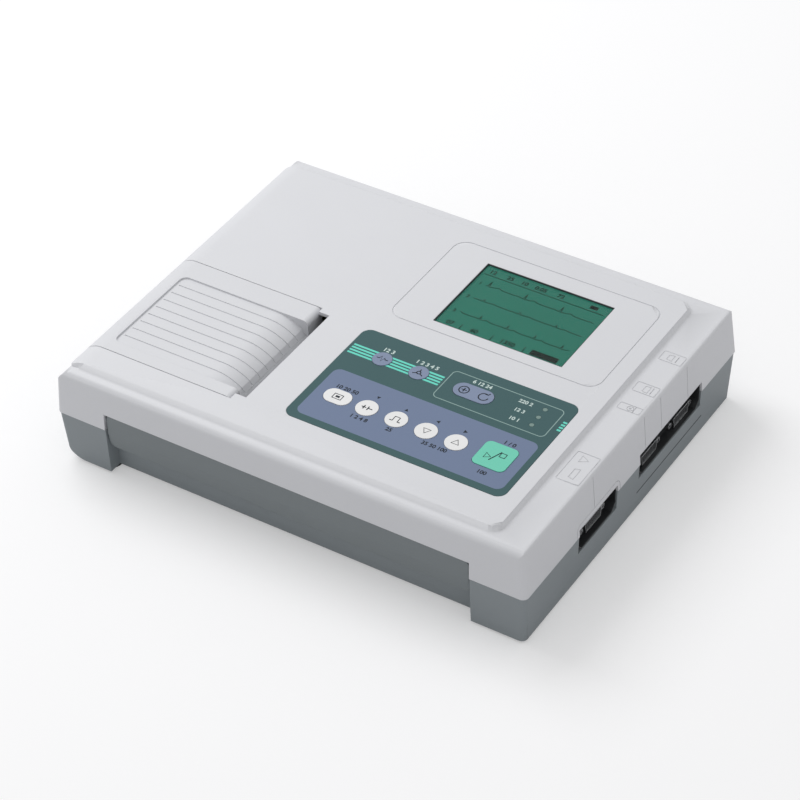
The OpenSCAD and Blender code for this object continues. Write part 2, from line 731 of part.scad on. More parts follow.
module idler_gear() {
  color("#e8e4d8") difference() {
    translate([idler_x, 0, idler_z]) along_y(gear_y0, gear_y0 + gear_w) gear_outline(idler_teeth, idler_phase);
    rod_y(idler_x, idler_z, gear_y0 - 1, gear_y0 + gear_w + 1, 2 + run);
    for (a = [0:60:300]) rod_y(idler_x + 6.6 * cos(a), idler_z + 6.6 * sin(a), gear_y0 - 1, gear_y0 + gear_w + 1, 1.8);
  }
}

module idler_stud() {
  color("silver") {
    rod_y(idler_x, idler_z, gear_y0 - 0.3, cheek_y0, 2);
    rod_y(idler_x, idler_z, gear_y0 - 1.3, gear_y0 - 0.3 + tiny, 3.4);
    rod_y(idler_x, idler_z, cheek_y0 - 0.6, cheek_y0, 3.2);
  }
}

module motor_pinion() {
  color("#c9a45c") difference() {
    translate([pinion_x, 0, pinion_z]) along_y(gear_y0, gear_y0 + gear_w) gear_outline(pinion_teeth, pinion_phase);
    rod_y(pinion_x, pinion_z, gear_y0 - 1, gear_y0 + gear_w + 1, 1.02);
  }
}

module motor_shaft() {
  color("silver") rod_y(pinion_x, pinion_z, gear_y0 - 0.5, cheek_y0 + cheek_t + 12, 1);
}

module drive_motor() {
  color("#8d9296") difference() {
    union() {
      rod_y(pinion_x, pinion_z, cheek_y0 + cheek_t + 1, cheek_y0 + cheek_t + 1 + motor_l, motor_r);
      rod_y(pinion_x, pinion_z, cheek_y0 + cheek_t, cheek_y0 + cheek_t + 1 + tiny, motor_r - 4);
      along_y(cheek_y0 + cheek_t + 1, cheek_y0 + cheek_t + 2) {
        for (s = [-1, 1]) translate([pinion_x + s * 21, pinion_z]) circle(3.5);
        translate([pinion_x - 21, pinion_z - 3.5]) square([42, 7]);
      }
    }
    rod_y(pinion_x, pinion_z, cheek_y0, cheek_y0 + cheek_t + 13, 1 + run);
    for (s = [-1, 1]) rod_y(pinion_x + s * 21, pinion_z, cheek_y0, cheek_y0 + 8, 1.6);
  }
}

// cheek of the printer frame: notch for the platen, open slot for the roll's journal
module cheek_outline(drive) {
  difference() {
    union() {
      translate([frame_x0, frame_z0]) square([frame_x1 - frame_x0, 24]);
      translate([roll_x - 22, frame_z0]) square([44, roll_z + 10 - frame_z0]);
      translate([platen_x - 18, frame_z0]) square([frame_x1 - platen_x + 18, platen_z + 4 - frame_z0]);
    }
    translate([platen_x - bush_r - 1.4, platen_z - bush_r - gap]) square([2 * bush_r + 1.4 + gap, 30]);
    translate([roll_x - journal_r - gap, roll_z]) square([2 * journal_r + 2 * gap, 30]);
    translate([roll_x, roll_z]) circle(journal_r + run);
    if (drive) translate([pinion_x, pinion_z]) circle(motor_r - 3.7);
  }
}

module printer_frame() {
  color("#a9adb0") {
    difference() {
      blk([frame_x0, cheek_y0, frame_z0], [frame_x1, cheek_y1, frame_z0 + frame_t]);
      for (x = [frame_x0 + 10, frame_x1 - 6], y = [cheek_y0 + 12, cheek_y1 - 12]) post(x, y, 0, 40, 1.6);
    }
    along_y(cheek_y0, cheek_y0 + cheek_t) cheek_outline(true);
    along_y(cheek_y1 - cheek_t, cheek_y1) cheek_outline(false);
  }
}

module print_head() {
  color("#efe9df") blk([nip_x + gap, platen_y0 - 4, platen_z - 12], [nip_x + gap + 1.2, platen_y1 + 4, platen_z + 5]);
}

module head_heatsink() {
  color("#9ea3a6") {
    blk([nip_x + gap + 1.2, platen_y0 - 5, platen_z - 14], [nip_x + gap + 3.6, platen_y1 + 5, platen_z + 6]);
    for (i = [0:2]) blk([nip_x + gap + 3.5, platen_y0 - 5, platen_z - 13 + i * 6],
      [nip_x + gap + 6.2, platen_y1 + 5, platen_z - 12 + i * 6]);
  }
}

module head_bracket() {
  x = nip_x + gap + 6.5;
  color("#a9adb0") {
    blk([x, cheek_y0 + cheek_t + gap, frame_z0 + frame_t], [x + 1.5, cheek_y1 - cheek_t - gap, platen_z + 7]);
    blk([x - 8, cheek_y0 + cheek_t + gap, frame_z0 + frame_t], [x + tiny, cheek_y1 - cheek_t - gap, frame_z0 + frame_t + 1.5]);
  }
}

module tear_bar() {
  x = nip_x + gap + 8;
  y0 = cheek_y0 + cheek_t + gap;
  y1 = cheek_y1 - cheek_t - gap;
  n = floor((y1 - y0 - 2) / 2);
  color("silver") {
    along_x(x, x + 0.8) polygon(concat([[y0, platen_z - 6], [y0, deck_z - 8]],
      [for (i = [0:n - 1], k = [0:1]) [y0 + 1 + 2 * i + k, deck_z - 8 + 1.2 * k]],
      [[y1, deck_z - 8], [y1, platen_z - 6]]));
  }
}

module paper_roll() {
  color("#f4f2ee") difference() {
    rod_y(roll_x, roll_z, bay_mid - paper_w / 2, bay_mid + paper_w / 2, roll_r);
    rod_y(roll_x, roll_z, bay_mid - paper_w / 2 - 1, bay_mid + paper_w / 2 + 1, core_r);
  }
}

module paper_core() {
  color("#c8ab7c") difference() {
    rod_y(roll_x, roll_z, bay_mid - paper_w / 2, bay_mid + paper_w / 2, core_r - 0.02);
    rod_y(roll_x, roll_z, bay_mid - paper_w / 2 - 1, bay_mid + paper_w / 2 + 1, spindle_r + 0.1);
  }
}

module roll_spindle() {
  color("#3b3f42") {
    rod_y(roll_x, roll_z, cheek_y0 + cheek_t + 0.5, cheek_y1 - cheek_t - 0.5, spindle_r);
    rod_y(roll_x, roll_z, cheek_y0 - 1, cheek_y1 + 1, journal_r);
    for (s = [-1, 1]) rod_y(roll_x, roll_z, bay_mid + s * (paper_w / 2 + 2) - 1, bay_mid + s * (paper_w / 2 + 2) + 1, 14);
  }
}

// ---------- screen ----------

module screen_box(w, d, z0, z1) {
  blk([screen_x - w / 2, screen_y - d / 2, z0], [screen_x + w / 2, screen_y + d / 2, z1]);
}

module screen_window() {
  color("#bfe3d6", 0.4) screen_box(screen_w + 8, screen_d + 8, deck_z - wall - 1.2, deck_z - wall - 0.1);
}

module lcd_frame() {
  color("#2b2d2f") difference() {
    screen_box(lcd_w, lcd_d, lcd_z1 - lcd_t, lcd_z1);
    screen_box(screen_w + 3, screen_d + 3, lcd_z1 - 2, lcd_z1 + 1);
    screen_box(lcd_w - 4, lcd_d - 4, lcd_z1 - lcd_t - 1, lcd_z1 - 1);
  }
}

module lcd_glass() {
  color("#3f8270") screen_box(lcd_w - 4.4, lcd_d - 4.4, lcd_z1 - lcd_t + 0.2, lcd_z1 - 1.2);
}

// points where the display board is screwed to the deck
lcd_bosses = [for (x = [-1, 1], y = [-1, 1]) [screen_x + x * (lcd_w / 2 + 4), screen_y + y * (lcd_d / 2 - 8)]];

module lcd_board() {
  color("#2f6b46") difference() {
    union() {
      screen_box(lcd_w + 15, lcd_d, lcd_pcb_z, lcd_pcb_z + pcb_t);
      screen_box(lcd_w - 60, lcd_d - 60, lcd_pcb_z - 3, lcd_pcb_z);
    }
    for (b = lcd_bosses) post(b.x, b.y, 0, deck_z, 1.2);
  }
}

// ---------- keypad ----------

module sheet_holes(g) {
  for (x = key_x) translate([x, key_row_y]) circle(key_d / 2 + g);
  for (x = small_key_x) translate([x, small_key_y]) circle(8 + g);
  soft_rect([oval_x - 11.5 - g, key_row_y - 8 - g], [oval_x + 11.5 + g, key_row_y + 8 + g], 7.5);
  soft_rect([double_x - 17 - g, small_key_y - 8 - g], [double_x + 17 + g, small_key_y + 8 + g], 7.9);
  soft_rect([start_x - start_s / 2 - g, start_y - start_s / 2 - g],
    [start_x + start_s / 2 + g, start_y + start_s / 2 + g], 5);
  for (y = led_y) translate([led_x, y]) circle(2.1);
}

module keypad_sheet() {
  color("#48706e") translate([0, 0, pad_z]) linear_extrude(pad_t) difference() {
    soft_rect([pad_x0, pad_y0], [pad_x1, pad_y1], pad_r);
    sheet_holes(key_gap);
  }
}

// plunger under a key cap
module stem(x, y) {
  post(x, y, stem_z, key_top - key_t + tiny, stem_d / 2);
}

module round_key(x, y, d) {
  post(x, y, key_top - key_t, key_top, d / 2);
  stem(x, y);
}

module long_key(x, y, w, d, r) {
  slab([x - w / 2, y - d / 2, key_top - key_t], [x + w / 2, y + d / 2, key_top], r);
  stem(x, y);
}

module key_mode() { color("#ebebeb") long_key(oval_x, key_row_y, 23, 16, 7.5); }
module key_round_1() { color("#ebebeb") round_key(key_x[0], key_row_y, key_d); }
module key_round_2() { color("#ebebeb") round_key(key_x[1], key_row_y, key_d); }
module key_round_3() { color("#ebebeb") round_key(key_x[2], key_row_y, key_d); }
module key_round_4() { color("#ebebeb") round_key(key_x[3], key_row_y, key_d); }
module key_start() { color("#69cdb4") long_key(start_x, start_y, start_s, start_s, 5); }
module key_small_1() { color("#8291aa") round_key(small_key_x[0], small_key_y, 16); }
module key_small_2() { color("#8291aa") round_key(small_key_x[1], small_key_y, 16); }
module key_double() { color("#8291aa") long_key(double_x, small_key_y, 34, 16, 7.9); }

module status_lights() {
  color("#9fb09f") for (y = led_y) {
    post(led_x, y, board_z + pcb_t, pad_z + pad_t, 1.9);
    post(led_x, y, board_z + pcb_t, board_z + pcb_t + 2, 2.6);
  }
}

// points where the keypad board is screwed to the deck
pad_bosses = [for (x = [pad_x0 + 9, pad_x1 - 9], y = [pad_y0 + 9, pad_y1 - 9]) [x, y]];

module keypad_board() {
  color("#2f6b46") difference() {
    blk([pad_x0 + 4, pad_y0 + 4, board_z], [pad_x1 - 4, pad_y1 - 4, board_z + pcb_t]);
    for (b = pad_bosses) post(b.x, b.y, 0, deck_z, 1.2);
  }
}

module key_switches() {
  color("#3a3d40") for (s = stems) {
    blk([s.x - 3, s.y - 3, board_z + pcb_t], [s.x + 3, s.y + 3, stem_z - key_travel - 1]);
    post(s.x, s.y, board_z + pcb_t, stem_z - key_travel - 0.25, 1.7);
  }
}

// ---------- boards ----------

module main_board() {
  color("#2f6b46") difference() {
    blk([main_x0, main_y0, main_z], [main_x1, main_y1, main_z + pcb_t]);
    for (x = [main_x0 + 6, main_x1 - 6], y = [main_y0 + 6, main_y1 - 6]) post(x, y, 0, 40, 1.6);
  }
}

module board_parts() {
  z = main_z + pcb_t;
  color("#2a2c2e") {
    blk([main_x0 + 40, main_y0 + 40, z], [main_x0 + 68, main_y0 + 68, z + 3]);
    blk([main_x0 + 85, main_y0 + 30, z], [main_x0 + 105, main_y0 + 44, z + 3]);
    blk([main_x0 + 85, main_y0 + 55, z], [main_x0 + 105, main_y0 + 69, z + 3]);
    blk([main_x0 + 20, main_y0 + 90, z], [main_x0 + 60, main_y0 + 97, z + 9]);
    post(main_x0 + 120, main_y0 + 110, z, z + 9, 8);
    for (i = [0:3]) post(main_x0 + 30 + i * 14, main_y0 + 118, z, z + 12, 4);
  }
}

module input_board() {
  color("#2f6b46") {
    blk([panel_x - 66, patient_y - 33, socket_z - 12], [panel_x - panel_t - 9, patient_y + 33, socket_z - 12 + pcb_t]);
    for (x = [panel_x - 62, panel_x - 16], y = [-29, 29]) post(x, patient_y + y, main_z + pcb_t, socket_z - 12, 3);
  }
}

module input_shield() {
  z = socket_z - 12 + pcb_t;
  color("#b9bcbd") difference() {
    blk([panel_x - 62, patient_y - 26, z], [panel_x - 24, patient_y + 26, z + 12]);
    blk([panel_x - 61, patient_y - 25, z - 1], [panel_x - 25, patient_y + 25, z + 11]);
  }
}

module power_board() {
  color("#5e7d3c") difference() {
    blk([psu_x0, psu_y0, main_z], [psu_x1, psu_y1, main_z + pcb_t]);
    for (x = [psu_x0 + 8, psu_x1 - 6], y = [psu_y0 + 6, psu_y1 - 6]) post(x, y, 0, 40, 1.6);
  }
}

module transformer() {
  x = psu_x0 + 60;
  y = psu_y0 + 34;
  z = main_z + pcb_t;
  color("#d7c24a") {
    blk([x - 16, y - 18, z], [x + 16, y + 18, z + 7]);
    blk([x - 10, y - 18, z + 7 - tiny], [x + 10, y + 18, z + 23]);
    blk([x - 16, y - 18, z + 23 - tiny], [x + 16, y + 18, z + 30]);
  }
}

module battery_pack() {
  color("#3f6fb0") slab([bat_x0 + gap, bat_y0 + gap, base_z + 2.4 + gap],
    [bat_x0 + bat_w - gap, bat_y0 + bat_d - gap, floor_z + bat_h - gap], 4);
}

module battery_cover() {
  color("#646c70") difference() {
    slab([bat_x0 - 2 + gap, bat_y0 - 2 + gap, base_z], [bat_x0 + bat_w + 2 - gap, bat_y0 + bat_d + 2 - gap, base_z + 2.4 - gap / 2], 1.8);
    for (i = [0:4]) blk([bat_x0 + bat_w / 2 - 12, bat_y0 + 6 + i * 3, base_z - 1],
      [bat_x0 + bat_w / 2 + 12, bat_y0 + 7.5 + i * 3, base_z + 0.6]);
  }
}

// ---------- sockets ----------

// metal shell and flange of a 15-way socket
module socket_shell(y) {
  difference() {
    union() {
      blk([panel_x, y - flange_w / 2, socket_z - flange_h / 2], [panel_x + flange_t, y + flange_w / 2, socket_z + flange_h / 2]);
      along_x(panel_x, panel_x + 7) translate([y, socket_z]) d_outline(0.6);
    }
    along_x(panel_x - 1, panel_x + 8) translate([y, socket_z]) d_outline(0);
    for (s = [-1, 1]) rod_x(y + s * jack_pitch / 2, socket_z, panel_x - 1, panel_x + 3, 1.6);
  }
}

module socket_insert(y) {
  difference() {
    along_x(panel_x - 8, panel_x + 6.2) translate([y, socket_z]) d_outline(-0.05);
    for (i = [0:7]) rod_x(y + (i - 3.5) * 2.76, socket_z + 1.4, panel_x + 1, panel_x + 7, 0.55);
    for (i = [0:6]) rod_x(y + (i - 3) * 2.76, socket_z - 1.4, panel_x + 1, panel_x + 7, 0.55);
  }
}

module patient_socket() { color("silver") socket_shell(patient_y); }
module port_sockets() { color("silver") for (y = port_y) socket_shell(y); }
module socket_inserts() { color("#26282a") for (y = concat([patient_y], port_y)) socket_insert(y); }

module jack_screws() {
  color("silver") for (y = concat([patient_y], port_y), s = [-1, 1]) {
    py = y + s * jack_pitch / 2;
    difference() {
      union() {
        translate([panel_x + flange_t, py, socket_z]) rotate([0, 90, 0]) cylinder(h = 5, r = 2.8, $fn = 6);
        rod_x(py, socket_z, panel_x - 4, panel_x + flange_t + tiny, 1.45);
      }
      rod_x(py, socket_z, panel_x + flange_t + 1, panel_x + 8, 1.2);
    }
  }
}

// ---------- back panel ----------

module mains_inlet() {
  color("#1f2122") difference() {
    union() {
      blk([inlet_x - inlet_w / 2, hy - wall - 14, inlet_z - inlet_h / 2],
        [inlet_x + inlet_w / 2, hy - trim_in - tiny, inlet_z + inlet_h / 2]);
      along_y(hy - trim_in - trim_t, hy - trim_in)
        soft_rect([inlet_x - trim_w / 2, inlet_z - trim_h / 2], [inlet_x + trim_w / 2, inlet_z + trim_h / 2], 3);
    }
    blk([inlet_x - inlet_w / 2 + 1.5, hy - 15, inlet_z - inlet_h / 2 + 1.8],
      [inlet_x + inlet_w / 2 - 1.5, hy + 1, inlet_z + inlet_h / 2 - 1.8]);
  }
}

module switch_housing() {
  color("#1f2122") difference() {
    union() {
      blk([switch_x - switch_w / 2, hy - wall - 12, inlet_z - switch_h / 2],
        [switch_x + switch_w / 2, hy - trim_in - tiny, inlet_z + switch_h / 2]);
      along_y(hy - trim_in - trim_t, hy - trim_in)
        soft_rect([switch_x - switch_w / 2 - 1.6, inlet_z - switch_h / 2 - 1.6],
          [switch_x + switch_w / 2 + 1.6, inlet_z + switch_h / 2 + 1.6], 1.5);
    }
    blk([switch_x - switch_w / 2 + 1.5, hy - 14, inlet_z - switch_h / 2 + 1.5],
      [switch_x + switch_w / 2 - 1.5, hy + 1, inlet_z + switch_h / 2 - 1.5]);
    rod_x(rocker_y, inlet_z, switch_x - switch_w, switch_x + switch_w, 1 + run);
  }
}

// rocker resting with its lower edge pressed in
module power_switch() {
  r = 9;
  color("#2e3133") {
    translate([0, rocker_y, inlet_z]) rotate([rocker_tilt, 0, 0]) translate([0, -rocker_y, -inlet_z])
      intersection() {
        rod_x(rocker_y - 2.5, inlet_z, switch_x - switch_w / 2 + 1.9, switch_x + switch_w / 2 - 1.9, r);
        blk([switch_x - switch_w, rocker_y - 1.2, inlet_z - switch_h / 2 + 2.2],
          [switch_x + switch_w, rocker_y + 5.2, inlet_z + switch_h / 2 - 2.2]);
      }
    rod_x(rocker_y, inlet_z, switch_x - switch_w / 2 + 0.4, switch_x + switch_w / 2 - 0.4, 1);
  }
}

module earth_post() {
  color("#c9a45c") difference() {
    union() {
      rod_y(earth_x, inlet_z, hy - wall - 8, hy - tiny, 3);
      rod_y(earth_x, inlet_z, hy - wall - 8, hy - wall - 3, 6);
    }
    rod_y(earth_x, inlet_z, hy - 8, hy + 1, 1.5);
  }
}

upper_case();
lower_case();
rubber_feet();
case_screws();
carry_handle();
handle_guides();
printer_door();
hinge_pin();
platen_bushes();
platen_shaft();
platen_rubber();
platen_gear();
idler_gear();
idler_stud();
motor_pinion();
motor_shaft();
drive_motor();
printer_frame();
print_head();
head_heatsink();
head_bracket();
tear_bar();
paper_roll();
paper_core();
roll_spindle();
screen_window();
lcd_frame();
lcd_glass();
lcd_board();
keypad_sheet();
key_mode();
key_round_1();
key_round_2();
key_round_3();
key_round_4();
key_start();
key_small_1();
key_small_2();
key_double();
status_lights();
keypad_board();
key_switches();
main_board();
board_parts();
input_board();
input_shield();
power_board();
transformer();
battery_pack();
battery_cover();
patient_socket();
port_sockets();
socket_inserts();
jack_screws();
mains_inlet();
power_switch();
switch_housing();
earth_post();
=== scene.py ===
"""Finishes, printing, screen picture and studio for a desktop ECG machine."""

import json
import math

import bpy
from mathutils import Matrix, Vector


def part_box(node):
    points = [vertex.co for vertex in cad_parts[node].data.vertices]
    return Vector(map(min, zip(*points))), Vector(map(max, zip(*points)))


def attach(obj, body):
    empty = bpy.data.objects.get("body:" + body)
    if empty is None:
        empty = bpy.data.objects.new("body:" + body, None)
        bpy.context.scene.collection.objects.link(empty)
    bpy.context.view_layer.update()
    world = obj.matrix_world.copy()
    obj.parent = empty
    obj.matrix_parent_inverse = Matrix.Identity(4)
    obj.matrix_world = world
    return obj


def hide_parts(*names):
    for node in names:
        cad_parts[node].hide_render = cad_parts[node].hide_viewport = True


MM = 0.001
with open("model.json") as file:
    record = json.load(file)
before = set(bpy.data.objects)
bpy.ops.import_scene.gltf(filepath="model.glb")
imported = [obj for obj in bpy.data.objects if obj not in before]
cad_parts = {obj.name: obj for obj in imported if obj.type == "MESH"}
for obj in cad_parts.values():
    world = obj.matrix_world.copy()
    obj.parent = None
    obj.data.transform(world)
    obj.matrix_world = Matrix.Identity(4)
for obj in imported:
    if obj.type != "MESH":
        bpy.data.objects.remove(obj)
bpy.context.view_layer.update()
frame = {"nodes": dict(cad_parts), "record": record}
nodes = frame["nodes"]
bpy.ops.object.select_all(action="DESELECT")


# ---------- colours ----------


def paint(red, green, blue):
    """A colour as on a paint card, 0 to 255 a channel, in Blender's linear values."""
    return (*(((c / 255 + 0.055) / 1.055) ** 2.4 for c in (red, green, blue)), 1)


def shade(colour, times):
    """The same colour, lighter or darker."""
    return (*(min(c * times, 1) for c in colour[:3]), 1)


SHELL = paint(219, 220, 224)
DOOR = paint(217, 218, 222)
SLATE = paint(140, 147, 151)
GRIP = paint(124, 131, 134)
SHEET = paint(66, 96, 98)
PANEL = paint(116, 130, 158)
STRIPE = paint(112, 222, 202)
OUTLINE = paint(150, 176, 172)
DARK_INK = paint(40, 46, 54)
PALE_INK = paint(205, 222, 218)


# ---------- building blocks of the finishes ----------


def add(tree, kind, sockets=None, **settings):
    """A shader node with its settings made and its sockets set or linked."""
    made = tree.nodes.new("ShaderNode" + kind)
    for name, value in settings.items():
        setattr(made, name, value)
    for key, value in (sockets or {}).items():
        if isinstance(value, bpy.types.NodeSocket):
            tree.links.new(value, made.inputs[key])
        else:
            made.inputs[key].default_value = value
    return made


def blank(name):
    """A new material with a bare Principled shader."""
    material = bpy.data.materials.new(name)
    material.use_nodes = True
    tree = material.node_tree
    tree.nodes.clear()
    shader = add(tree, "BsdfPrincipled")
    add(tree, "OutputMaterial", {"Surface": shader.outputs["BSDF"]})
    return material, tree, shader


def place(tree, stretch=(1, 1, 1), centre=(0, 0, 0)):
    """Coordinates in the machine's own frame, in metres, stretched and centred."""
    spot = add(tree, "TexCoord").outputs["Object"]
    moved = add(tree, "VectorMath", {0: spot, 1: centre}, operation="SUBTRACT")
    return add(tree, "VectorMath", {0: moved.outputs[0], 1: stretch}, operation="MULTIPLY").outputs[0]


def speckle(tree, size, detail=2.0, stretch=(1, 1, 1)):
    """Noise from 0 to 1 whose lumps are about this size."""
    return add(tree, "TexNoise", {"Vector": place(tree, stretch), "Scale": 1 / size, "Detail": detail}).outputs[0]


def spread(tree, value, low, high, start=0.0, end=1.0):
    """The value moved from the range start to end into the range low to high."""
    return add(tree, "MapRange", {0: value, 1: start, 2: end, 3: low, 4: high}).outputs[0]


def mixed(tree, share, first, second):
    """One colour over another by a share from 0 to 1."""
    mix = tree.nodes.new("ShaderNodeMix")
    mix.data_type = "RGBA"
    for index, value in ((0, share), (6, first), (7, second)):
        if isinstance(value, bpy.types.NodeSocket):
            tree.links.new(value, mix.inputs[index])
        else:
            mix.inputs[index].default_value = value
    return mix.outputs[2]


def softened(tree, radius):
    """The surface direction with the edges rounded off, and a mask of those edges."""
    rounded = add(tree, "Bevel", {"Radius": radius}, samples=4).outputs[0]
    plain = add(tree, "NewGeometry").outputs["Normal"]
    match = add(tree, "VectorMath", {0: rounded, 1: plain}, operation="DOT_PRODUCT").outputs["Value"]
    return rounded, spread(tree, match, 1, 0, 0.75, 0.97)


def bumped(tree, height, depth, under=None):
    """The surface direction roughened by a height pattern of this depth."""
    sockets = {"Height": height, "Distance": depth, "Strength": 1.0}
    if under is not None:
        sockets["Normal"] = under
    return add(tree, "Bump", sockets).outputs[0]


# ---------- finishes ----------


def moulded(name, colour, roughness=0.5, grain=0.7 * MM, depth=0.02 * MM, wear=1.12, edge=0.5 * MM):
    """Moulded plastic: spark-eroded grain, faint clouding and polished edges."""
    material, tree, shader = blank(name)
    fine = speckle(tree, grain, 3)
    cloud = speckle(tree, 60 * MM, 3)
    rounded, worn = softened(tree, edge)
    body = mixed(tree, cloud, shade(colour, 0.975), shade(colour, 1.02))
    body = mixed(tree, spread(tree, fine, 0, 0.35, 0.55, 0.75), body, shade(colour, 0.93))
    tree.links.new(mixed(tree, spread(tree, worn, 0, 0.5), body, shade(colour, wear)), shader.inputs["Base Color"])
    tree.links.new(spread(tree, fine, roughness - 0.08, roughness + 0.08), shader.inputs["Roughness"])
    tree.links.new(bumped(tree, fine, depth, rounded), shader.inputs["Normal"])
    return material


def metal(name, colour, roughness=0.3, stretch=(1, 0.06, 1)):
    """Drawn or rolled metal with fine lines and a little tarnish."""
    material, tree, shader = blank(name)
    lines = speckle(tree, 0.25 * MM, 2, stretch)
    tarnish = speckle(tree, 8 * MM, 4)
    rounded, worn = softened(tree, 0.2 * MM)
    body = mixed(tree, tarnish, shade(colour, 0.82), shade(colour, 1.05))
    tree.links.new(mixed(tree, spread(tree, worn, 0, 0.5), body, shade(colour, 1.25)), shader.inputs["Base Color"])
    shader.inputs["Metallic"].default_value = 1.0
    tree.links.new(spread(tree, lines, roughness - 0.1, roughness + 0.15), shader.inputs["Roughness"])
    tree.links.new(bumped(tree, lines, 0.01 * MM, rounded), shader.inputs["Normal"])
    return material


def rubber(name, colour):
    """Dull rubber with a pored skin."""
    material, tree, shader = blank(name)
    pores = speckle(tree, 0.4 * MM, 4)
    dust = speckle(tree, 6 * MM, 3)
    body = mixed(tree, spread(tree, dust, 0, 0.6, 0.45, 0.8), colour, shade(colour, 1.5))
    tree.links.new(body, shader.inputs["Base Color"])
    tree.links.new(spread(tree, pores, 0.7, 0.9), shader.inputs["Roughness"])
    tree.links.new(bumped(tree, pores, 0.04 * MM), shader.inputs["Normal"])
    return material


def circuit_board(name, colour):
    """Lacquered board with tracks and pads just under the lacquer."""
    material, tree, shader = blank(name)
    black, white = (0, 0, 0, 1), (1, 1, 1, 1)
    pattern = {"Scale": 160.0, "Mortar Size": 0.06, "Color1": black, "Color2": black, "Mortar": white}
    tracks = add(tree, "TexBrick", {"Vector": place(tree), **pattern})
    pads = add(tree, "TexVoronoi", {"Vector": place(tree), "Scale": 240.0})
    dots = add(tree, "Math", {0: pads.outputs["Distance"], 1: 0.16}, operation="LESS_THAN").outputs[0]
    body = mixed(tree, spread(tree, tracks.outputs["Fac"], 0, 0.5), colour, shade(colour, 1.6))
    tree.links.new(mixed(tree, spread(tree, dots, 0, 0.8), body, paint(188, 190, 184)), shader.inputs["Base Color"])
    tree.links.new(spread(tree, dots, 0.32, 0.45), shader.inputs["Roughness"])
    tree.links.new(bumped(tree, dots, 0.05 * MM), shader.inputs["Normal"])
    return material


TURNS_PER_METRE = 9000.0


def wound_paper(name, colour, centre):
    """Coated chart paper wound on a core: thin edges of the turns show on its ends."""
    material, tree, shader = blank(name)
    spot = place(tree, (1, 0, 1), centre)
    away = add(tree, "VectorMath", {0: spot}, operation="LENGTH").outputs["Value"]
    phase = add(tree, "Math", {0: away, 1: TURNS_PER_METRE}, operation="MULTIPLY").outputs[0]
    turns = add(tree, "Math", {0: phase}, operation="SINE").outputs[0]
    fibres = speckle(tree, 0.5 * MM, 4)
    body = mixed(tree, spread(tree, turns, 0, 0.5, -1, 1), colour, shade(colour, 0.86))
    tree.links.new(mixed(tree, spread(tree, fibres, 0, 0.3), body, shade(colour, 0.93)), shader.inputs["Base Color"])
    tree.links.new(spread(tree, fibres, 0.55, 0.75), shader.inputs["Roughness"])
    tree.links.new(bumped(tree, fibres, 0.01 * MM), shader.inputs["Normal"])
    return material


def clear_window(name):
    """Thin clear sheet: what is behind shows through, and it shines at a low angle."""
    material, tree, shader = blank(name)
    tree.nodes.remove(shader)
    swirl = speckle(tree, 30 * MM, 2)
    shine = add(tree, "BsdfGlossy", {"Color": (1, 1, 1, 1), "Roughness": spread(tree, swirl, 0.02, 0.06)})
    through = add(tree, "BsdfTransparent", {"Color": (0.97, 1, 0.98, 1)})
    facing = add(tree, "LayerWeight", {"Blend": 0.5}).outputs["Facing"]
    low_angle = add(tree, "Math", {0: facing, 1: 5.0}, operation="POWER").outputs[0]
    glance = spread(tree, low_angle, 0.004, 0.5)
    both = add(tree, "MixShader", {0: glance, 1: through.outputs[0], 2: shine.outputs[0]})
    output = next(n for n in tree.nodes if n.bl_idname == "ShaderNodeOutputMaterial")
    tree.links.new(both.outputs[0], output.inputs["Surface"])
    return material


def display_glass(name, colour, pitch):
    """Liquid crystal glass over its reflector, with the grid of picture cells."""
    material, tree, shader = blank(name)
    axes = add(tree, "SeparateXYZ", {0: place(tree)})
    grid = None
    for axis in ("X", "Y"):
        cell = add(tree, "Math", {0: axes.outputs[axis], 1: pitch}, operation="DIVIDE").outputs[0]
        part = add(tree, "Math", {0: cell}, operation="FRACT").outputs[0]
        line = add(tree, "Math", {0: part, 1: 0.12}, operation="LESS_THAN").outputs[0]
        grid = line if grid is None else add(tree, "Math", {0: grid, 1: line}, operation="MAXIMUM").outputs[0]
    cloud = speckle(tree, 50 * MM, 2)
    body = mixed(tree, cloud, shade(colour, 0.93), shade(colour, 1.07))
    tree.links.new(mixed(tree, spread(tree, grid, 0, 0.25), body, shade(colour, 0.75)), shader.inputs["Base Color"])
    tree.links.new(spread(tree, cloud, 0.25, 0.35), shader.inputs["Roughness"])
    shader.inputs["Specular IOR Level"].default_value = 0.1
    return material


def printed(name, colour, roughness=0.5):
    """Screen-printed ink."""
    material, tree, shader = blank(name)
    coat = speckle(tree, 0.6 * MM, 2)
    tree.links.new(mixed(tree, coat, shade(colour, 0.94), shade(colour, 1.05)), shader.inputs["Base Color"])
    tree.links.new(spread(tree, coat, roughness - 0.06, roughness + 0.06), shader.inputs["Roughness"])
    tree.links.new(bumped(tree, coat, 0.004 * MM), shader.inputs["Normal"])
    shader.inputs["Specular IOR Level"].default_value = 0.12
    return material


def in_soft_box(tree, low, high, radius):
    """1 inside a rectangle with round corners seen from above, else 0."""
    centre = ((low[0] + high[0]) / 2, (low[1] + high[1]) / 2, 0)
    half = ((high[0] - low[0]) / 2 - radius, (high[1] - low[1]) / 2 - radius, 0)
    away = add(tree, "VectorMath", {0: place(tree, (1, 1, 0), centre)}, operation="ABSOLUTE").outputs[0]
    past = add(tree, "VectorMath", {0: away, 1: half}, operation="SUBTRACT").outputs[0]
    outside = add(tree, "VectorMath", {0: past, 1: (0, 0, 0)}, operation="MAXIMUM").outputs[0]
    gap = add(tree, "VectorMath", {0: outside}, operation="LENGTH").outputs["Value"]
    return add(tree, "Math", {0: gap, 1: radius}, operation="LESS_THAN").outputs[0]


LOWEST_STRIPE, STRIPE_STEP, STRIPE_WIDTH = 86.2, 3.3, 1.9


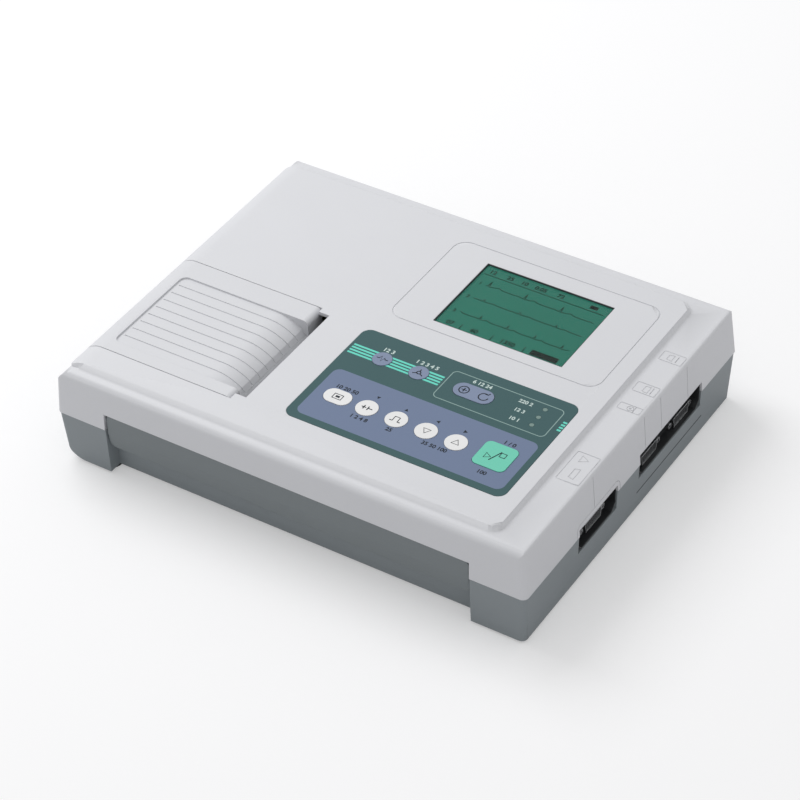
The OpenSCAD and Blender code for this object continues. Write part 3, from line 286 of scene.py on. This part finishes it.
def key_film(name, corner):
    """Printed keypad film: grey panel under the keys, stripes beside them and a ruled box round the lamps."""
    material, tree, shader = blank(name)
    weave = speckle(tree, 0.45 * MM, 3)
    body = mixed(tree, speckle(tree, 40 * MM, 2), shade(SHEET, 0.95), shade(SHEET, 1.05))

    def spot(x, y):
        return (corner.x + x * MM, corner.y + y * MM)

    def over(low, high, radius, colour):
        nonlocal body
        body = mixed(tree, in_soft_box(tree, spot(*low), spot(*high), radius * MM), body, colour)

    shader.inputs["Specular IOR Level"].default_value = 0.15
    over((6.6, 6.6), (187.8, 66.0), 6.5, PANEL)
    for row in range(4):
        low = LOWEST_STRIPE + STRIPE_STEP * row
        for left, right in ((2.6, 84.8), (189.2, 192.6)):
            over((left, low), (right, low + STRIPE_WIDTH), 0.1, STRIPE)
    over((87.0, 73.6), (185.1, 109.1), 4.5, OUTLINE)
    over((87.7, 74.3), (184.4, 108.4), 3.8, SHEET)
    tree.links.new(body, shader.inputs["Base Color"])
    tree.links.new(spread(tree, weave, 0.4, 0.52), shader.inputs["Roughness"])
    tree.links.new(bumped(tree, weave, 0.008 * MM, softened(tree, 0.3 * MM)[0]), shader.inputs["Normal"])
    return material


roll_low, roll_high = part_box("paper_roll")
roll_middle = (roll_low + roll_high) / 2
sheet_low, sheet_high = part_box("keypad_sheet")

FINISHES = {
    "case_light": moulded("shell_plastic", SHELL),
    "case_dark": moulded("base_plastic", SLATE, 0.48, wear=1.25),
    "door_light": moulded("door_plastic", DOOR),
    "handle_dark": moulded("handle_plastic", GRIP, 0.42, wear=1.3),
    "rubber_dark": rubber("foot_rubber", paint(58, 60, 62)),
    "rubber_platen": rubber("platen_rubber", paint(46, 48, 50)),
    "steel": metal("bright_steel", paint(196, 198, 200), 0.25),
    "brass": metal("brass", paint(206, 172, 104), 0.3),
    "gear_white": moulded("acetal", paint(232, 228, 216), 0.4, 0.5 * MM),
    "frame_grey": metal("zinc_plate", paint(160, 164, 166), 0.4, (1, 1, 0.08)),
    "aluminium": metal("aluminium", paint(178, 182, 184), 0.35),
    "ceramic": moulded("ceramic", paint(236, 230, 220), 0.25, 0.3 * MM, 0.004 * MM),
    "paper": wound_paper("chart_paper", paint(242, 240, 236), roll_middle),
    "card": moulded("brown_card", paint(186, 156, 112), 0.8, 0.4 * MM, 0.03 * MM),
    "window_clear": clear_window("screen_window"),
    "lcd_green": display_glass("display_glass", paint(44, 115, 102), 0.36 * MM),
    "lcd_metal": metal("blackened_steel", paint(44, 46, 48), 0.45),
    "board_green": circuit_board("green_board", paint(46, 104, 68)),
    "board_power": circuit_board("power_board", paint(92, 118, 60)),
    "chip_black": moulded("chip_epoxy", paint(44, 46, 48), 0.45, 0.3 * MM),
    "sheet_green": key_film("key_film", sheet_low),
    "key_white": moulded("white_key", paint(236, 236, 236), 0.42, 0.5 * MM, 0.008 * MM, 1.0),
    "key_teal": moulded("start_key", paint(106, 206, 180), 0.42, 0.5 * MM, 0.008 * MM, 1.08),
    "key_lilac": moulded("small_key", paint(122, 136, 164), 0.42, 0.5 * MM, 0.008 * MM, 1.08),
    "light_pipe": moulded("light_pipe", paint(118, 144, 138), 0.2, 0.5 * MM, 0.004 * MM),
    "tape_yellow": moulded("winding_tape", paint(212, 190, 74), 0.4, 0.8 * MM),
    "battery_wrap": moulded("battery_wrap", paint(62, 108, 172), 0.35, 1.2 * MM, 0.01 * MM),
    "socket_black": moulded("socket_plastic", paint(38, 40, 42), 0.4, 0.4 * MM, wear=1.6),
}


def dress(thing, material):
    """Gives a node or piece one finish all over."""
    if not thing.material_slots:
        thing.data.materials.append(material)
    for holder in thing.material_slots:
        holder.material = material


SLOT_OF = {part["node"]: part["material_slot"] for part in frame["record"]["subparts"]}
for node, slot in SLOT_OF.items():
    dress(nodes[node], FINISHES[slot])


# ---------- the case's leaning sides, its sockets and the set-in screen ----------

SEAM_Z, RIM_Z, FOOT_Z = 46.0, 89.0, 2.0
HALF_W, HALF_D, DECK_Z = 210.0, 165.0, 93.0
LEAN_RIGHT, LEAN_LEFT, LEAN_FRONT, LEAN_BACK = 3.0, 2.3, 1.2, 4.5
LEAN_STARTS_IN, LEAN_FULL_IN = 15.0, 5.0
LEFT_LEAN_LOW, LEFT_LEAN_HIGH, LEFT_LEAN_FADE = 15, 66, 20
SOCKETS_OUT = 5.0
LONG_POCKET, SHORT_POCKET = (-86.0, -27.0), (8.0, 114.0)
LONG_FLOOR_UP, SHORT_FLOOR_UP, SHORT_ROOF_UP, SHORT_BACK_IN = 6.0, 9.0, 3.0, 5.0
POCKET_BACK_X, FLOOR_BAND, ROOF_BAND = 195.5, (21, 27), (47, 55.5)
POCKET_DEPTH, LINER_WALL = 14, 1.0
LINER_FIT = 0.3
# Height band and outward reach of the dark strip that is painted shade for a narrow groove on the base's side.
GROOVE_SHADE_LOW, GROOVE_SHADE_HIGH, GROOVE_SHADE_PROUD_X = 17.4, 18.5, 1.56
WINDOW_LIP, WINDOW_FIT = 8, 0.2
PICTURE_DOWN = 1.5


def ramp(value, start, end):
    """0 up to start and 1 from end on."""
    return min(max((value - start) / (end - start), 0.0), 1.0)


def side_share(value, half):
    """How far a point takes part in the lean of the side at this distance from the middle."""
    return ramp(value, half - LEAN_STARTS_IN, half - LEAN_FULL_IN)


def pocket_fit(x, y, z):
    """A point of the socket pockets' walls in their final outline."""
    if x < POCKET_BACK_X:
        return y, z
    floor = FLOOR_BAND[0] < z < FLOOR_BAND[1]
    roof = ROOF_BAND[0] < z < ROOF_BAND[1]
    if LONG_POCKET[0] - 1 < y < LONG_POCKET[1] + 1:
        return y, z + LONG_FLOOR_UP * floor
    if SHORT_POCKET[0] - 1 < y < SHORT_POCKET[1] + 1 and FLOOR_BAND[0] < z < ROOF_BAND[1]:
        if y > SHORT_POCKET[1] - SHORT_BACK_IN:
            y -= SHORT_BACK_IN
        return y, z + SHORT_FLOOR_UP * floor + SHORT_ROOF_UP * roof
    return y, z


def leaning(x, y, z):
    """A point of the case with its sides leaning out to the parting line."""
    y, z = pocket_fit(x, y, z)
    drop = ramp(RIM_Z - z, 0, RIM_Z - SEAM_Z)
    rise = ramp(z, FOOT_Z, SEAM_Z)
    left_share = ramp(LEFT_LEAN_HIGH - z, 0, LEFT_LEAN_FADE) * ramp(z, LEFT_LEAN_LOW, SEAM_Z)
    right, left = side_share(x, HALF_W), side_share(-x, HALF_W)
    front, back = side_share(-y, HALF_D), side_share(y, HALF_D) * ramp(x, -HALF_W, HALF_W)
    x += LEAN_RIGHT * right * drop - LEAN_LEFT * left * left_share
    y += LEAN_BACK * back * drop * rise - LEAN_FRONT * front * drop
    return x, y, z


def outward(x, y, z):
    """A point of the side sockets, nearer to the side's face."""
    return x + SOCKETS_OUT, y, z


def set_in(x, y, z):
    """A point of the screen's window, raised into the deck's opening."""
    x = SCREEN_MIDDLE[0] + (x - SCREEN_MIDDLE[0]) * (SCREEN_W - WINDOW_FIT) / (SCREEN_W + WINDOW_LIP)
    y = SCREEN_MIDDLE[1] + (y - SCREEN_MIDDLE[1]) * (SCREEN_D - WINDOW_FIT) / (SCREEN_D + WINDOW_LIP)
    return x, y, DECK_Z - (1.0 if z > DECK_Z - 3.6 else 1.4)


def finished(piece, name, slot, body="case", material=None):
    """Names a new piece and gives it its finish and the body that it rides on."""
    piece.name = piece.data.name = name
    dress(piece, material or FINISHES[slot])
    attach(piece, body)
    bpy.ops.object.select_all(action="DESELECT")
    return piece


def recast(node, moved, name):
    """A joined copy of a node with its points moved, which stands for the node."""
    piece = bpy.data.objects.new(name, nodes[node].data.copy())
    bpy.context.scene.collection.objects.link(piece)
    piece.select_set(True)
    bpy.context.view_layer.objects.active = piece
    bpy.ops.object.mode_set(mode="EDIT")
    bpy.ops.mesh.select_all(action="SELECT")
    bpy.ops.mesh.remove_doubles(threshold=0.0005 * MM)
    bpy.ops.object.mode_set(mode="OBJECT")
    for point in piece.data.vertices:
        point.co = Vector(moved(*(c / MM for c in point.co))) * MM
    bpy.ops.object.shade_smooth_by_angle(angle=math.radians(17))
    even = piece.modifiers.new("even", "WEIGHTED_NORMAL")
    even.mode = "FACE_AREA"
    even.weight = 100
    even.keep_sharp = True
    bpy.ops.object.modifier_apply(modifier="even")
    finished(piece, name, SLOT_OF[node])
    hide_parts(node)
    return piece


def block(low, high):
    """A box between two corners in mm, open in edit mode with nothing selected."""
    low, high = Vector(low) * MM, Vector(high) * MM
    bpy.ops.mesh.primitive_cube_add(size=1, location=(low + high) / 2, scale=high - low)
    bpy.ops.object.transform_apply(location=True, rotation=False, scale=True)
    bpy.ops.object.mode_set(mode="EDIT")
    bpy.ops.mesh.select_all(action="DESELECT")
    return bpy.context.object


def choose(piece, kind, wanted):
    """Selects a piece's faces or edges by where they lie, in mm."""
    bpy.ops.mesh.select_all(action="DESELECT")
    bpy.ops.object.mode_set(mode="OBJECT")
    mesh = piece.data
    for item in getattr(mesh, kind):
        spots = [mesh.vertices[v].co / MM for v in item.vertices]
        item.select = wanted(spots)
    bpy.ops.object.mode_set(mode="EDIT")


def walled(piece, thick):
    """Leaves edit mode and gives the open shell a wall, inward."""
    bpy.ops.object.mode_set(mode="OBJECT")
    wall = piece.modifiers.new("wall", "SOLIDIFY")
    wall.thickness = thick * MM
    wall.offset = -1
    wall.use_even_offset = True
    bpy.ops.object.modifier_apply(modifier="wall")


def round_edges(piece, wanted, size, steps):
    """Bevels the edges that lie as wanted, leaving edit mode on."""
    bpy.ops.mesh.select_mode(type="EDGE")
    choose(piece, "edges", wanted)
    bpy.ops.mesh.bevel(offset=size * MM, segments=steps, affect="EDGES")


def open_up(piece, wanted, thick):
    """Takes away the faces that lie as wanted and gives the rest a wall."""
    bpy.ops.mesh.select_mode(type="FACE")
    choose(piece, "polygons", wanted)
    bpy.ops.mesh.delete(type="FACE")
    walled(piece, thick)


def at_height(height):
    """Picks the edges along x that lie at this height."""
    return lambda s: all(abs(p.z - height) < 0.01 for p in s) and abs(s[0].x - s[1].x) > 1


def level(s):
    """Picks the faces that lie flat."""
    return abs(s[0].z - s[2].z) < 0.01 and abs(s[0].z - s[1].z) < 0.01


def pocket_liner(name, y0, y1, z0, z1, cut=6.0, round_r=3.0):
    """Black tray in a socket pocket, with its two lower corners cut off: it stands for a black socket bezel and is
    also painted shade that darkens the pocket.
    """
    floor_x, mouth_x = HALF_W - POCKET_DEPTH + SOCKETS_OUT + 1.05, HALF_W + 1
    piece = block((floor_x, y0 + LINER_FIT, z0), (mouth_x, y1 - LINER_FIT, z1))
    round_edges(piece, at_height(z0), cut, 1)
    round_edges(piece, at_height(z1), round_r, 4)
    open_up(piece, lambda s: all(p.x > mouth_x - 0.01 for p in s), LINER_WALL)
    return finished(piece, name, "socket_black")


# Dark strip along the base's side under the short pocket: painted shade standing for the shadow inside a narrow
# groove there.
groove_shade_strip = block(
    (HALF_W + 1.1, SHORT_POCKET[0] - 2, GROOVE_SHADE_LOW),
    (HALF_W + GROOVE_SHADE_PROUD_X, SHORT_POCKET[1] - 1, GROOVE_SHADE_HIGH),
)
round_edges(groove_shade_strip, lambda s: all(p.x > HALF_W + GROOVE_SHADE_PROUD_X - 0.06 for p in s), 0.03, 2)
bpy.ops.object.mode_set(mode="OBJECT")
finished(groove_shade_strip, "groove_shade_strip", "rubber_dark")

window_low, window_high = (Vector(corner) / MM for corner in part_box("screen_window"))
SCREEN_MIDDLE = ((window_low.x + window_high.x) / 2, (window_low.y + window_high.y) / 2)
SCREEN_W, SCREEN_D = window_high.x - window_low.x - WINDOW_LIP, window_high.y - window_low.y - WINDOW_LIP


def screen_block(inset, low, high):
    """A box in the deck's screen opening, inset at its sides and down from the deck."""
    half_w, half_d = SCREEN_W / 2 - inset, SCREEN_D / 2 - inset
    return block(
        (SCREEN_MIDDLE[0] - half_w, SCREEN_MIDDLE[1] - half_d, DECK_Z - low),
        (SCREEN_MIDDLE[0] + half_w, SCREEN_MIDDLE[1] + half_d, DECK_Z - high),
    )


recast("upper_case", leaning, "upper_shell")
recast("lower_case", leaning, "base_shell")
for node in ("patient_socket", "port_sockets", "socket_inserts", "jack_screws"):
    recast(node, outward, node + "_set")
# The liners are black trays that stand for black socket bezels and also paint the shade inside the pockets.
pocket_liner("long_liner", LONG_POCKET[0], LONG_POCKET[1], 28.3, 51.7)
pocket_liner("short_liner", SHORT_POCKET[0], SHORT_POCKET[1] - SHORT_BACK_IN, 31.3, 54.7)

recast("screen_window", set_in, "window_sheet")
stack = screen_block(WINDOW_FIT, 5.6, PICTURE_DOWN)
round_edges(stack, lambda s: abs(s[0].z - s[1].z) > 1, 0.6, 2)
bpy.ops.object.mode_set(mode="OBJECT")
finished(stack, "display_stack", "lcd_green")
# Black lining on the walls of the deck's screen opening: it stands for a dark gasket and is also painted shade for
# the depth of the opening.
lining = screen_block(0, 2.8, 0.15)
open_up(lining, level, 0.5)
finished(lining, "window_shade_lining", "rubber_dark")


# ---------- drawing in ink ----------


def box_line(x, y, width, depth):
    """Corners of an upright rectangle round a middle, in mm."""
    return [(x + sx * width / 2, y + sy * depth / 2) for sx, sy in ((-1, -1), (1, -1), (1, 1), (-1, 1))]


def arc_line(x, y, radius, start=0, turn=360, steps=24):
    """Points along an arc round a middle, in mm and degrees."""
    angles = [math.radians(start + turn * i / steps) for i in range(steps + (turn < 360))]
    return [(x + radius * math.cos(a), y + radius * math.sin(a)) for a in angles]


def flat_curve(name, outlines, closed):
    """A curve object with one straight-sided spline an outline, in mm on the table plane."""
    curve = bpy.data.curves.new(name, "CURVE")
    curve.dimensions = "3D"
    for points in outlines:
        line = curve.splines.new("POLY")
        line.points.add(len(points) - 1)
        for point, (x, y) in zip(line.points, points):
            point.co = (x * MM, y * MM, 0, 1)
        line.use_cyclic_u = closed
    made = bpy.data.objects.new(name, curve)
    bpy.context.scene.collection.objects.link(made)
    return made


def to_mesh(thing):
    """Makes a curve or text object a mesh object, alone in the selection."""
    bpy.ops.object.select_all(action="DESELECT")
    thing.select_set(True)
    bpy.context.view_layer.objects.active = thing
    bpy.ops.object.convert(target="MESH")
    return bpy.context.object


def rule(name, outlines, width, thick, closed):
    """Lines of this width, flattened to the thickness of a coat of ink."""
    made = flat_curve(name, outlines, closed)
    made.data.bevel_depth = width / 2
    made.data.bevel_resolution = 1
    made.data.use_fill_caps = True
    made = to_mesh(made)
    made.data.transform(Matrix.Scale(thick / width, 4, (0, 0, 1)) @ Matrix.Translation((0, 0, width / 2)))
    return made


def filled(name, outlines, thick):
    """Solid patches of ink."""
    made = flat_curve(name, outlines, True)
    made.data.dimensions = "2D"
    made.data.fill_mode = "BOTH"
    made.data.extrude = thick / 2
    made = to_mesh(made)
    made.data.transform(Matrix.Translation((0, 0, thick / 2)))
    return made


def figures(name, words, thick):
    """Plain numbers, each (text, x, y, height in mm)."""
    made = []
    for text, x, y, height in words:
        bpy.ops.object.text_add()
        word = bpy.context.object
        word.data.body = text
        word.data.size = height * MM
        word.data.align_x = "CENTER"
        word.data.align_y = "CENTER"
        word.data.extrude = thick / 2
        word.data.offset = 0.03 * height * MM
        word = to_mesh(word)
        word.data.transform(Matrix.Translation((x * MM, y * MM, thick / 2)))
        word.location = (0, 0, 0)
        made.append(word)
    return made


def ink(
    name, corner, body, slot, material, lines=(), loops=(), patches=(), words=(), width=0.7 * MM, thick=0.04 * MM
):
    """One printed or raised drawing at a corner or middle on a flat top, riding with what carries it."""
    drawn = []
    if lines:
        drawn.append(rule(name + "_lines", lines, width, thick, False))
    if loops:
        drawn.append(rule(name + "_loops", loops, width, thick, True))
    if patches:
        drawn.append(filled(name + "_patches", patches, thick))
    drawn += figures(name, words, thick)
    bpy.ops.object.select_all(action="DESELECT")
    for item in drawn:
        item.select_set(True)
    bpy.context.view_layer.objects.active = drawn[0]
    if len(drawn) > 1:
        bpy.ops.object.join()
    piece = bpy.context.object
    piece.data.transform(Matrix.Translation(corner))
    bpy.ops.object.mode_set(mode="EDIT")
    bpy.ops.mesh.select_all(action="SELECT")
    bpy.ops.mesh.remove_doubles(threshold=0.002 * MM)
    bpy.ops.mesh.normals_make_consistent(inside=False)
    bpy.ops.object.mode_set(mode="OBJECT")
    piece.data.materials.clear()
    return finished(piece, name, slot, body, material)


def top_middle(node):
    """Middle of a node's top."""
    low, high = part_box(node)
    return Vector(((low.x + high.x) / 2, (low.y + high.y) / 2, high.z))


# ---------- printing on the keypad ----------

dark_ink = printed("dark_ink", DARK_INK)
pale_ink = printed("pale_ink", PALE_INK)
KEY_DRAWINGS = {
    "key_mode": dict(loops=[box_line(0, 0, 7.6, 5.4)], patches=[box_line(0, 0, 3.6, 2.2)]),
    "key_round_1": dict(
        lines=[[(-4.6, 0), (-0.6, 0)], [(-2.6, -2.2), (-2.6, 2.2)], [(1, -2.2), (1, 2.2)], [(1, 0), (4.8, 0)]]
    ),
    "key_round_2": dict(lines=[[(-4.6, -2.6), (-2.2, -2.6), (-2.2, 2.6), (2.2, 2.6), (2.2, -2.6), (4.6, -2.6)]]),
    "key_round_3": dict(loops=[[(-3.2, 2.2), (3.2, 2.2), (0, -3)]]),
    "key_round_4": dict(loops=[[(-3.2, -2.2), (3.2, -2.2), (0, 3)]]),
    "key_start": dict(
        loops=[[(-7.6, -5.2), (-7.6, 0.6), (-2.8, -2.3)], box_line(4.8, 3.2, 4.6, 4.6)],
        lines=[[(-2.6, -6), (2.2, 6.2)]],
    ),
    "key_small_1": dict(lines=[[(-5, 0), (-2.8, 0), (-1.6, 3), (0, -3), (1.4, 1.8), (2.4, 0), (5, 0)]]),
    "key_small_2": dict(
        loops=[arc_line(0, 0, 1.6)],
        lines=[[(-4.4, -2.6), (-1.4, -0.8)], [(4.4, -2.6), (1.4, -0.8)], [(0, 1.6), (0, 4.2)]],
    ),
    "key_double": dict(
        loops=[arc_line(-8.3, 0, 4)],
        lines=[
            [(-10.6, 0), (-6, 0)],
            [(-8.3, -2.3), (-8.3, 2.3)],
            arc_line(8.9, 0, 4, 60, 300),
            [(8.4, 3.6), (11, 3.5), (12, 5.6)],
        ],
    ),
}
for key, drawing in KEY_DRAWINGS.items():
    ink(key + "_mark", top_middle(key), key + "_cap", SLOT_OF[key], dark_ink, width=0.95 * MM, **drawing)

sheet_top = Vector((sheet_low.x, sheet_low.y, sheet_high.z))
ink(
    "panel_marks",
    sheet_top,
    "case",
    "sheet_green",
    dark_ink,
    patches=[
        [(52.4, 52.6), (55.6, 52.6), (54.0, 49.8)],
        [(78.6, 48.6), (81.8, 48.6), (80.2, 51.4)],
        [(106.2, 50.3), (109.2, 48.6), (109.2, 52.0)],
        [(130.4, 48.8), (130.4, 52.4), (133.6, 50.6)],
    ],
    words=[
        ("10 20 50", 28.0, 47.6, 5.6),
        ("1 2 4 8", 53.6, 23.6, 5.4),
        ("25", 80.4, 23.8, 5.4),
        ("35 50 100", 120.0, 24.2, 5.4),
        ("1 / 0", 167.4, 55.2, 5.6),
        ("100", 165.2, 17.4, 5.4),
    ],
)
ink(
    "sheet_marks",
    sheet_top,
    "case",
    "sheet_green",
    pale_ink,
    words=[
        ("12 3", 31.0, 103.0, 5.8),
        ("1 2 3 4 5", 65.6, 103.4, 5.6),
        ("6 12 24", 114.4, 104.4, 5.4),
        ("220 2", 153.6, 102.6, 5.2),
        ("12 3", 154.0, 92.2, 5.2),
        ("10 1", 155.4, 81.8, 5.2),
    ],
    width=0.5 * MM,
)


# ---------- screen picture ----------

VIEW_W, VIEW_D = 116.0, 85.0
TRACE_X, TRACE_W, TRACE_STEPS = 12, 98, 220
view_corner = Vector((SCREEN_MIDDLE[0] - VIEW_W / 2, SCREEN_MIDDLE[1] - VIEW_D / 2, DECK_Z - PICTURE_DOWN)) * MM
BEAT = ((0.16, 0.10, 0.024), (0.30, -0.10, 0.008), (0.33, 1.0, 0.011), (0.36, -0.22, 0.010), (0.60, 0.24, 0.045))


def heartbeat(phase):
    """Height of a resting heartbeat at this share of a beat, 1 at its peak."""
    return sum(size * math.exp(-(((phase - at) / (1.6 * width)) ** 2)) for at, size, width in BEAT)


def trace(y, height, beats, start):
    """One lead drawn across the screen, in mm."""
    return [
        (TRACE_X + TRACE_W * i / TRACE_STEPS, y + height * heartbeat((start + beats * i / TRACE_STEPS) % 1))
        for i in range(TRACE_STEPS + 1)
    ]


ink(
    "screen_picture",
    view_corner,
    "case",
    "lcd_green",
    printed("display_segments", paint(6, 24, 22), 0.5),
    lines=[
        trace(61, 7.0, 3.0, 0.25),
        trace(42, 3.4, 3.0, 0.05),
        trace(21, 6.0, 4.0, 0.60),
        *[[(x, 2.6), (x, 9.4)] for x in (22, 50, 79)],
        [(3, 73.6), (112, 73.6)],
    ],
    patches=[box_line(97, 6, 24, 6.4), box_line(101, 78.4, 7, 4.2)],
    words=[
        ("12", 9, 78, 6.2),
        ("25", 25, 78, 6.2),
        ("10", 38, 78, 6.2),
        ("0.05", 53, 78, 6.2),
        ("72", 71, 78, 6.2),
        ("1", 7, 61, 5.2),
        ("2", 7, 42, 5.2),
        ("3", 7, 21, 5.2),
        ("07", 12, 6, 6.6),
        ("60", 34, 6, 6.6),
        ("1350", 64, 6, 6.6),
    ],
    width=0.75 * MM,
    thick=0.03 * MM,
)


# ---------- raised figures beside the sockets ----------

RIM_CORNER = Vector((HALF_W * MM, 0, RIM_Z * MM))


def plug_outline(x, y, width):
    """D-shaped outline of a plug."""
    half = width / 2
    return [(x - 2.2, y - half + 0.8), (x + 2.2, y - half), (x + 2.2, y + half), (x - 2.2, y + half - 0.8)]


# The raised figures are coloured a shade darker than the shell: painted shade for the shadow along their raised
# edges.
ink(
    "rim_figures",
    RIM_CORNER,
    "case",
    "case_light",
    moulded("raised_figures", shade(SHELL, 0.98)),
    loops=[
        plug_outline(-12, -69, 12),
        [(-16, -56), (-16, -48), (-9.4, -52)],
        arc_line(-12, 17, 2.6),
        plug_outline(-12, 43, 8),
        plug_outline(-14, 86, 7),
    ],
    lines=[
        [(-8.6, 13.6), (-8.6, 20.4)],
        [(-7.4, 39), (-7.4, 47)],
        [(-8.4, 82.5), (-8.4, 89.5)],
        arc_line(-12, 17, 0.7),
    ],
    width=0.6 * MM,
    thick=0.12 * MM,
)


# ---------- studio ----------

HEADING, LOOK_DOWN, ROLL = (math.radians(a) for a in (-33.4, 40.0, -2.05))
FOCAL_PIXELS, FRAME_PIXELS, SENSOR = 2860, 800, 36.0
CAMERA_AT = Vector((0.9604, -1.4548, 1.4888))
SKY_LIGHT = 0.58
FLOOR_SIZE, FLOOR_GLOW, GLOW_SHARE = 12, 2.55, 0.13
LAMP_AT, LAMP_SIZE, LAMP_POWER = (-1.4, 0.4, 2.0), 1.5, 28
MACHINE_MIDDLE = Vector((0, 0, 0.05))


def camera_turn():
    """The camera's axes from its heading, its tilt and its roll."""
    flat = math.cos(LOOK_DOWN)
    ahead = Vector((math.sin(HEADING) * flat, math.cos(HEADING) * flat, -math.sin(LOOK_DOWN)))
    side = Vector((math.cos(HEADING), -math.sin(HEADING), 0))
    down = ahead.cross(side)
    right = math.cos(ROLL) * side - math.sin(ROLL) * down
    lower = math.sin(ROLL) * side + math.cos(ROLL) * down
    return Matrix((right, -lower, -ahead)).transposed().to_4x4()


def make_camera():
    """The camera, with the picture's focal length in pixels turned to millimetres."""
    data = bpy.data.cameras.new("camera")
    data.sensor_width = SENSOR
    data.lens = FOCAL_PIXELS / FRAME_PIXELS * SENSOR
    camera = bpy.data.objects.new("camera", data)
    camera.matrix_world = Matrix.Translation(CAMERA_AT) @ camera_turn()
    bpy.context.scene.collection.objects.link(camera)
    bpy.context.scene.camera = camera


def seen_directly(tree):
    """1 for a ray from the camera, or one reflected or passed by the object."""
    path = add(tree, "LightPath").outputs
    first = add(tree, "Math", {0: path["Is Camera Ray"], 1: path["Is Glossy Ray"]}, operation="MAXIMUM").outputs[0]
    return add(tree, "Math", {0: first, 1: path["Is Transmission Ray"]}, operation="MAXIMUM").outputs[0]


def make_world():
    """Soft light from all round, and a white background where it is seen directly."""
    world = bpy.data.worlds.new("studio")
    world.use_nodes = True
    tree = world.node_tree
    tree.nodes.clear()
    soft = add(tree, "Background", {"Color": (1, 1, 1, 1), "Strength": SKY_LIGHT})
    white = add(tree, "Background", {"Color": (1, 1, 1, 1), "Strength": 1.0})
    both = add(tree, "MixShader", {0: seen_directly(tree), 1: soft.outputs[0], 2: white.outputs[0]})
    add(tree, "OutputWorld", {"Surface": both.outputs[0]})
    bpy.context.scene.world = world


def make_floor():
    """The pale floor, lightened for the camera alone so that it keeps its shadow."""
    bpy.ops.mesh.primitive_plane_add(size=FLOOR_SIZE)
    floor = bpy.context.object
    floor.name = "floor"
    material = bpy.data.materials.new("floor")
    material.use_nodes = True
    tree = material.node_tree
    tree.nodes.clear()
    matte = add(tree, "BsdfDiffuse", {"Color": (0.8, 0.8, 0.81, 1)})
    glow = add(tree, "Emission", {"Color": (1, 1, 1, 1), "Strength": FLOOR_GLOW})
    path = add(tree, "LightPath")
    share = add(tree, "Math", {0: path.outputs["Is Camera Ray"], 1: GLOW_SHARE}, operation="MULTIPLY")
    both = add(tree, "MixShader", {0: share.outputs[0], 1: matte.outputs[0], 2: glow.outputs[0]})
    add(tree, "OutputMaterial", {"Surface": both.outputs[0]})
    dress(floor, material)
    bpy.ops.object.select_all(action="DESELECT")


def make_lamp(name, spot, size, power):
    """A square soft box aimed at the middle of the machine."""
    data = bpy.data.lights.new(name, "AREA")
    data.size = size
    data.energy = power
    lamp = bpy.data.objects.new(name, data)
    lamp.location = spot
    lamp.rotation_euler = (MACHINE_MIDDLE - Vector(spot)).to_track_quat("-Z", "Y").to_euler()
    bpy.context.scene.collection.objects.link(lamp)


make_camera()
make_world()
make_floor()
make_lamp("overhead", LAMP_AT, LAMP_SIZE, LAMP_POWER)

bpy.context.scene.view_settings.view_transform = "Standard"
